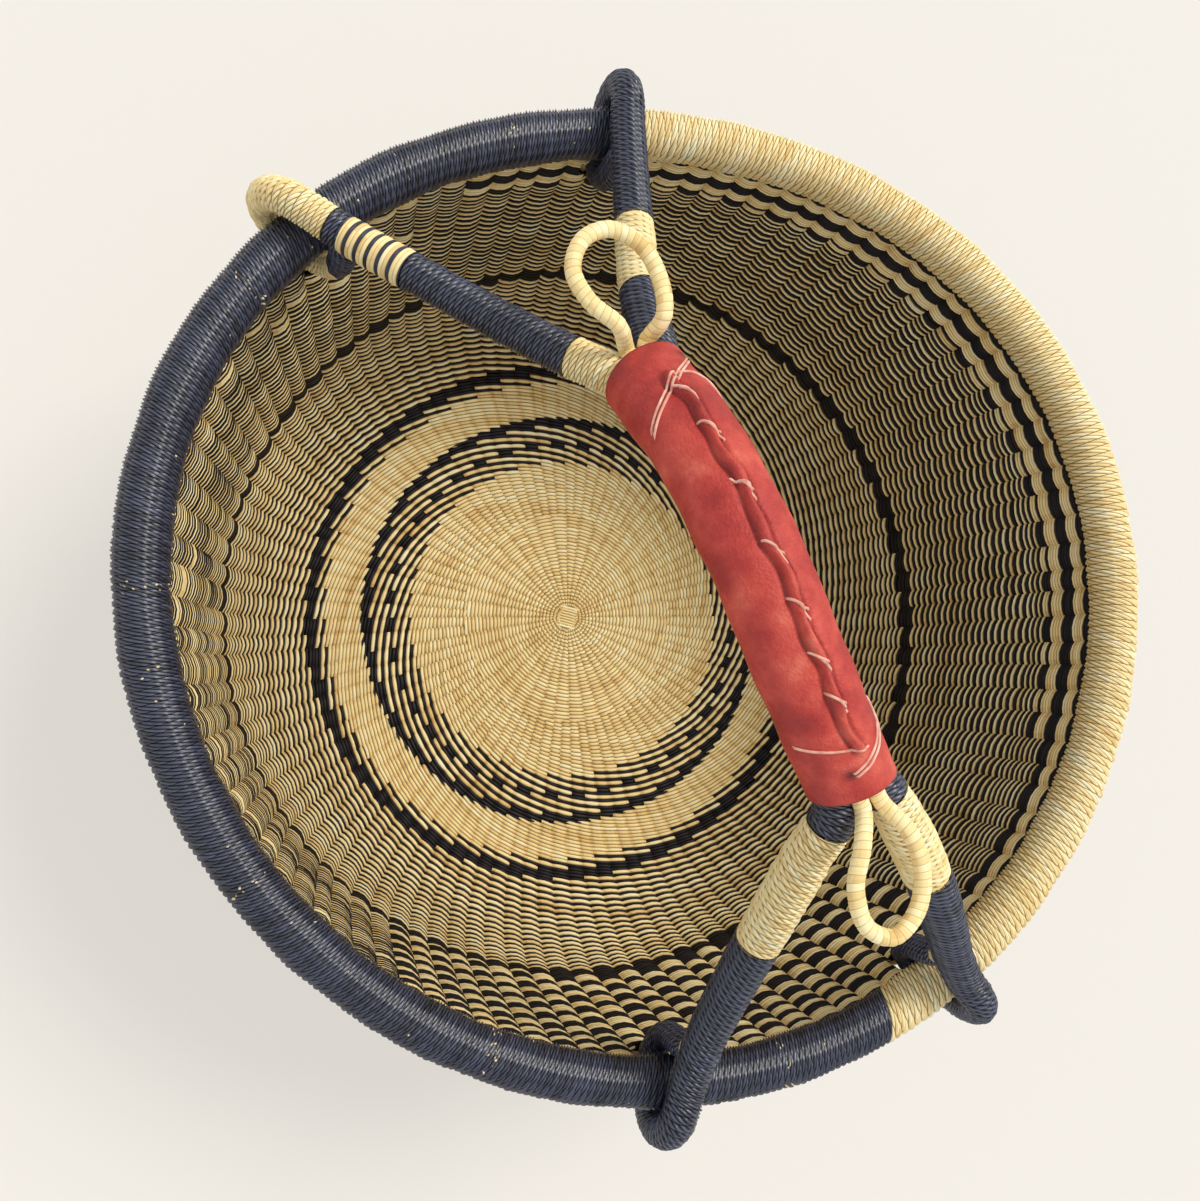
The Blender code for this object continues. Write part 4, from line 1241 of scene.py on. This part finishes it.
# Small straw loops at both ends of the grip.
LOOP_PLY = 0.0025
LOOP_AROUND = 20
LOOP_GROOVE = 0.00014
LOOP_GRAINS = (0, 0.15, 0.5, 0.85)
LOOP_HEIGHTS = (0, 0.85, 1, 0.85)
for loop_name, loop in SMALL_LOOPS.items():
    at_start = loop["grip_end"] == 0
    tip, outward = GRIP_ENDS[loop["grip_end"]]
    level = UP.cross(GRIP_SIDE)
    if level.dot(outward) < 0:
        level = -level
    lift = grip_up(0 if at_start else len(grip_route) - 1)
    pocket = GRIP_POCKET - LOOP_END_GAP
    spot = spot_at(grip_route, pocket if at_start else GRIP_LENGTH - pocket)
    inside = point_at(grip_route, spot)
    seats = []
    for side in (-1, 1):
        shift = side * LOOP_SPREAD * GRIP_SIDE + LOOP_LIFT * lift
        seats.append([inside + shift, tip + shift, tip + shift + LOOP_EXIT * outward])
    rise = loop["rise_share"] * LOOP_LENGTH
    bow = [
        tip + out * LOOP_LENGTH * level + across * LOOP_HALF_WIDTH * GRIP_SIDE + rise * UP
        for out, across in loop["outline_shares"]
    ]
    chain = [*seats[0], *bow, *reversed(seats[1])]
    loop_ends = (2 * chain[0] - chain[1], 2 * chain[-1] - chain[-2])
    route, _ = smooth_through(loop_ends[0], chain, loop_ends[1], LOOP_STEP)
    at, length = route_frame(route, [LOOP_RADIUS] * len(route), GRIP_SIDE)
    cord = wound(
        f"straw_loop_{loop_name}", at, 0, length, LOOP_PLY, 1, LOOP_AROUND,
        LOOP_GRAINS, LOOP_HEIGHTS, LOOP_GROOVE, natural_rim,
    )
    give(cord, loop_straw, "natural_straw", "handle", f"small_loop_{loop_name}")

# Leather sleeve with a sewn fold along its top.
LEATHER_COLUMNS = 120
LEATHER_ROWS = 150
FOLD_HALF_WIDTH = 0.0017
FOLD_RISE = 0.0029
FOLD_WANDER = 0.0007
CREASE_PLACE = 0.0022
CREASE_WIDTH = 0.0009
CREASE_DEPTH = 0.0007
CREASE_LINE_WIDTH = 0.0005
SEAM_BLEND = 0.004
PINCH = 0.0004
PINCH_REACH = 0.009
WRINKLES = ((0.00016, 41, 5), (0.00014, 23, -9))
FOLD_SWINGS = 58
TURN_CROWDING = 1.55
# The slits are only painted shade spots on the leather.
SLITS = ((0.035, 0.27), (0.935, -0.10))
SLIT_REACH = 0.012
SLIT_TURN = 0.05
SLIT_SHADE = 1.6
grip_spots = [
    spot_at(grip_route, GRIP_LENGTH * step / LEATHER_ROWS) for step in range(LEATHER_ROWS + 1)
]
grip_middles = np.array([tuple(point_at(grip_route, spot)) for spot in grip_spots])
grip_ups = np.array([tuple(grip_up(spot)) for spot in grip_spots])


def fold_distance(share, turn):
    """How far a point lies from the wandering fold, level across the grip."""
    wander = np.sin(share * 37) + 0.6 * np.sin(share * 71 + 1)
    return np.abs(GRIP_HALF_WIDTH * np.sin(math.pi * turn) - FOLD_WANDER * wander)


def seam_share(from_end):
    """Where the sewn fold is, by the distance from the nearer end: 0 off it, 1 on it."""
    return np.clip((from_end - SEAM_INSET) / SEAM_BLEND + 1, 0, 1)


def leather_points(share, turn, inset=0):
    """Points on the leather at a share of its length and a turn from the fold, -1 to 1."""
    place = share * LEATHER_ROWS
    steps = np.arange(LEATHER_ROWS + 1)
    middle = np.stack([np.interp(place, steps, grip_middles[:, k]) for k in range(3)], axis=1)
    up = np.stack([np.interp(place, steps, grip_ups[:, k]) for k in range(3)], axis=1)
    side = np.array(tuple(GRIP_SIDE))
    phi = math.pi * turn
    wide = (GRIP_HALF_WIDTH - inset) * np.sin(phi)
    high = (GRIP_HALF_HEIGHT - inset) * np.cos(phi)
    distance = share * GRIP_LENGTH
    room = seam_share(np.minimum(distance, GRIP_LENGTH - distance))
    near = fold_distance(share, turn)
    top = (np.cos(phi) > 0) & (inset == 0)
    half_width = FOLD_HALF_WIDTH * (1 + 0.3 * np.sin(share * FOLD_SWINGS))
    fold = FOLD_RISE * np.sqrt(np.clip(1 - (near / half_width) ** 2, 0, 1))
    fold = fold * (0.85 + 0.2 * np.sin(share * FOLD_SWINGS + 0.6))
    crease = CREASE_DEPTH * np.exp(-(((near - CREASE_PLACE) / CREASE_WIDTH) ** 2))
    pinch = PINCH * np.sin(share * 67 + 3 * turn) * np.exp(-((near / PINCH_REACH) ** 2))
    high = high + np.where(top, room * (fold - crease + pinch), 0)
    wrinkle = sum(reach * np.sin(share * ahead + bend * turn) for reach, ahead, bend in WRINKLES)
    scale = 1 + wrinkle * (inset == 0) / GRIP_HALF_WIDTH
    return middle + (wide * scale)[:, None] * side + (high * scale)[:, None] * up


mesh, column, row = grid_numbers(LEATHER_COLUMNS + 1, LEATHER_ROWS + 1, 0)
turn = 2 * column / LEATHER_COLUMNS - 1
turn = np.sign(turn) * np.abs(turn) ** TURN_CROWDING
share = row / LEATHER_ROWS
points = leather_points(share, turn)
mesh.vertices.foreach_set("co", points.astype(np.float32).ravel())
near = fold_distance(share, turn)
# Painted shade: a dark line along the crease beside the fold, and dark spots at the slits.
inner = seam_share(np.minimum(share, 1 - share) * GRIP_LENGTH) * (np.abs(turn) < 0.5)
painted_crease_shade = inner * np.exp(-(((near - CREASE_PLACE) / CREASE_LINE_WIDTH) ** 2))
for slit_share, slit_turn in SLITS:
    far = ((share - slit_share) / SLIT_REACH) ** 2 + ((turn - slit_turn) / SLIT_TURN) ** 2
    painted_crease_shade = np.maximum(painted_crease_shade, SLIT_SHADE * np.exp(-far))
set_face_value(mesh, "crease", painted_crease_shade[face_corners(mesh)].mean(axis=1))
shape = bmesh.new()
shape.from_mesh(mesh)
bmesh.ops.remove_doubles(shape, verts=shape.verts, dist=WELD_DISTANCE)
bmesh.ops.recalc_face_normals(shape, faces=shape.faces)
shape.to_mesh(mesh)
shape.free()
mesh.shade_smooth()
sleeve = add_object("leather_sleeve", mesh)
wall = sleeve.modifiers.new("leather_thickness", "SOLIDIFY")
wall.thickness = LEATHER_THICKNESS
wall.offset = -1
give(sleeve, red_leather, "red_leather", "handle", "grip_leather")

# Padding inside the leather.
PADDING_PLY = 0.002
PADDING_RADIUS = GRIP_HALF_HEIGHT - 0.0026
PADDING_AROUND = 24
at, _ = route_frame(grip_route, [PADDING_RADIUS] * len(grip_route), GRIP_SIDE)
padding = wound(
    "grip_padding", at, GRIP_POCKET, GRIP_LENGTH - GRIP_POCKET, PADDING_PLY, 1, PADDING_AROUND,
    PLY_GRAINS, PLY_HEIGHTS, LOOP_GROOVE, natural_rim,
)
give(padding, loop_straw, "natural_straw", "handle", "grip_binding")

# Thongs: a lacing over the fold and two ties near the ends, each a thin strip on the leather.
THONG_RADIUS = 0.00048
THONG_CUTS = 8
INNER_DEPTH = 0.004


def strip(curve, stops):
    """A thong lying on the leather from stop to stop, each a share along and a turn round."""
    shares, turns = [], []
    for (share_a, turn_a), (share_b, turn_b) in zip(stops, stops[1:]):
        for step in range(THONG_CUTS):
            shares.append(share_a + (share_b - share_a) * step / THONG_CUTS)
            turns.append(turn_a + (turn_b - turn_a) * step / THONG_CUTS)
    shares.append(stops[-1][0])
    turns.append(stops[-1][1])
    shares, turns = np.array(shares), np.array(turns)
    surface = leather_points(shares, turns)
    middle = leather_points(shares, turns, INNER_DEPTH)
    outward = surface - middle
    outward /= np.linalg.norm(outward, axis=1)[:, None]
    lift = np.full(len(shares), THONG_RADIUS * 0.5)
    lift[0] = lift[-1] = -THONG_RADIUS
    points = surface + outward * lift[:, None]
    add_line(curve, points)


def thongs(name, cad_node, strips):
    curve = round_curve(name, THONG_RADIUS, 2)
    curve.use_fill_caps = True
    for stops in strips:
        strip(curve, stops)
    give(add_object(name, curve), pale_thong, "thong_leather", "handle", cad_node)


STITCHES = (0.17, 0.26, 0.38, 0.50, 0.60, 0.70, 0.78)
STITCH_STRIPS = (
    ((-0.018, -0.05), (-0.004, -0.01), (0.016, 0.065)),
    ((-0.004, -0.01), (0.012, 0.02), (0.034, 0.05)),
)
LACING = [
    tuple((place + ahead, turn) for ahead, turn in stops)
    for place in STITCHES
    for stops in STITCH_STRIPS
]
thongs("fold_lacing", "seam_lacing", LACING)
TIE_A = (
    ((0.055, 0.28), (0.085, 0.18), (0.12, 0.05), (0.155, -0.12), (0.20, -0.36)),
    ((0.062, 0.29), (0.095, 0.18), (0.132, 0.05), (0.168, -0.12), (0.212, -0.36)),
    ((0.12, 0.05), (0.122, 0.18), (0.14, 0.33), (0.18, 0.47)),
)
TIE_B = (
    ((0.83, 0.45), (0.87, 0.32), (0.90, 0.16), (0.922, 0.02), (0.935, -0.08)),
    ((0.84, 0.45), (0.882, 0.32), (0.91, 0.17), (0.932, 0.03), (0.943, -0.07)),
    ((0.855, -0.42), (0.868, -0.22), (0.88, -0.05), (0.895, 0.10)),
)
thongs("tie_a", "end_tie_a", TIE_A)
thongs("tie_b", "end_tie_b", TIE_B)

# Solids that stay: straw bundles inside the bindings.
core_straw = straw("core_straw", BLACKS, 0.6, 0.2, 0.9)
for node_name in ("rim_core", "handle_core_west", "handle_core_east"):
    dress(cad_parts[node_name], core_straw)

# Floor, light and world.
FLOOR_GLOW = 0.6
KEY_STRENGTH = 2.1
KEY_DIRECTION = Vector((0.45, 0.35, 0.85))
SKY_STRENGTH = 0.76
floor_mesh = bpy.data.meshes.new("floor")
shape = bmesh.new()
bmesh.ops.create_grid(shape, x_segments=1, y_segments=1, size=4)
shape.to_mesh(floor_mesh)
shape.free()
floor = add_object("floor", floor_mesh)
paper, tree, paper_shader = new_skin("floor_paper")
paper_shader.inputs["Base Color"].default_value = (*linear(226, 221, 213), 1)
paper_shader.inputs["Roughness"].default_value = 0.9
paper_shader.inputs["Specular IOR Level"].default_value = 0.1
paper_glow = node(tree, "ShaderNodeEmission", in_0=(*linear(244, 239, 231), 1), in_1=1.0)
show_to_camera(tree, paper_shader, paper_glow, "Material Output", FLOOR_GLOW)
floor_mesh.materials.append(paper)

key = bpy.data.lights.new("key", "SUN")
key.energy = KEY_STRENGTH
key.color = (1.0, 0.965, 0.90)
key.angle = math.radians(24)
key_light = add_object("key", key)
key_light.rotation_euler = KEY_DIRECTION.to_track_quat("Z", "Y").to_euler()

world = bpy.data.worlds.new("studio")
bpy.context.scene.world = world
world.use_nodes = True
sky = world.node_tree.nodes["Background"]
sky.inputs["Color"].default_value = (0.93, 0.96, 1.0, 1)
sky.inputs["Strength"].default_value = SKY_STRENGTH
tree = world.node_tree
backdrop = node(tree, "ShaderNodeBackground", in_0=(*linear(246, 242, 236), 1), in_1=1.0)
show_to_camera(tree, sky, backdrop, "World Output")

bpy.context.scene.view_settings.view_transform = "Standard"
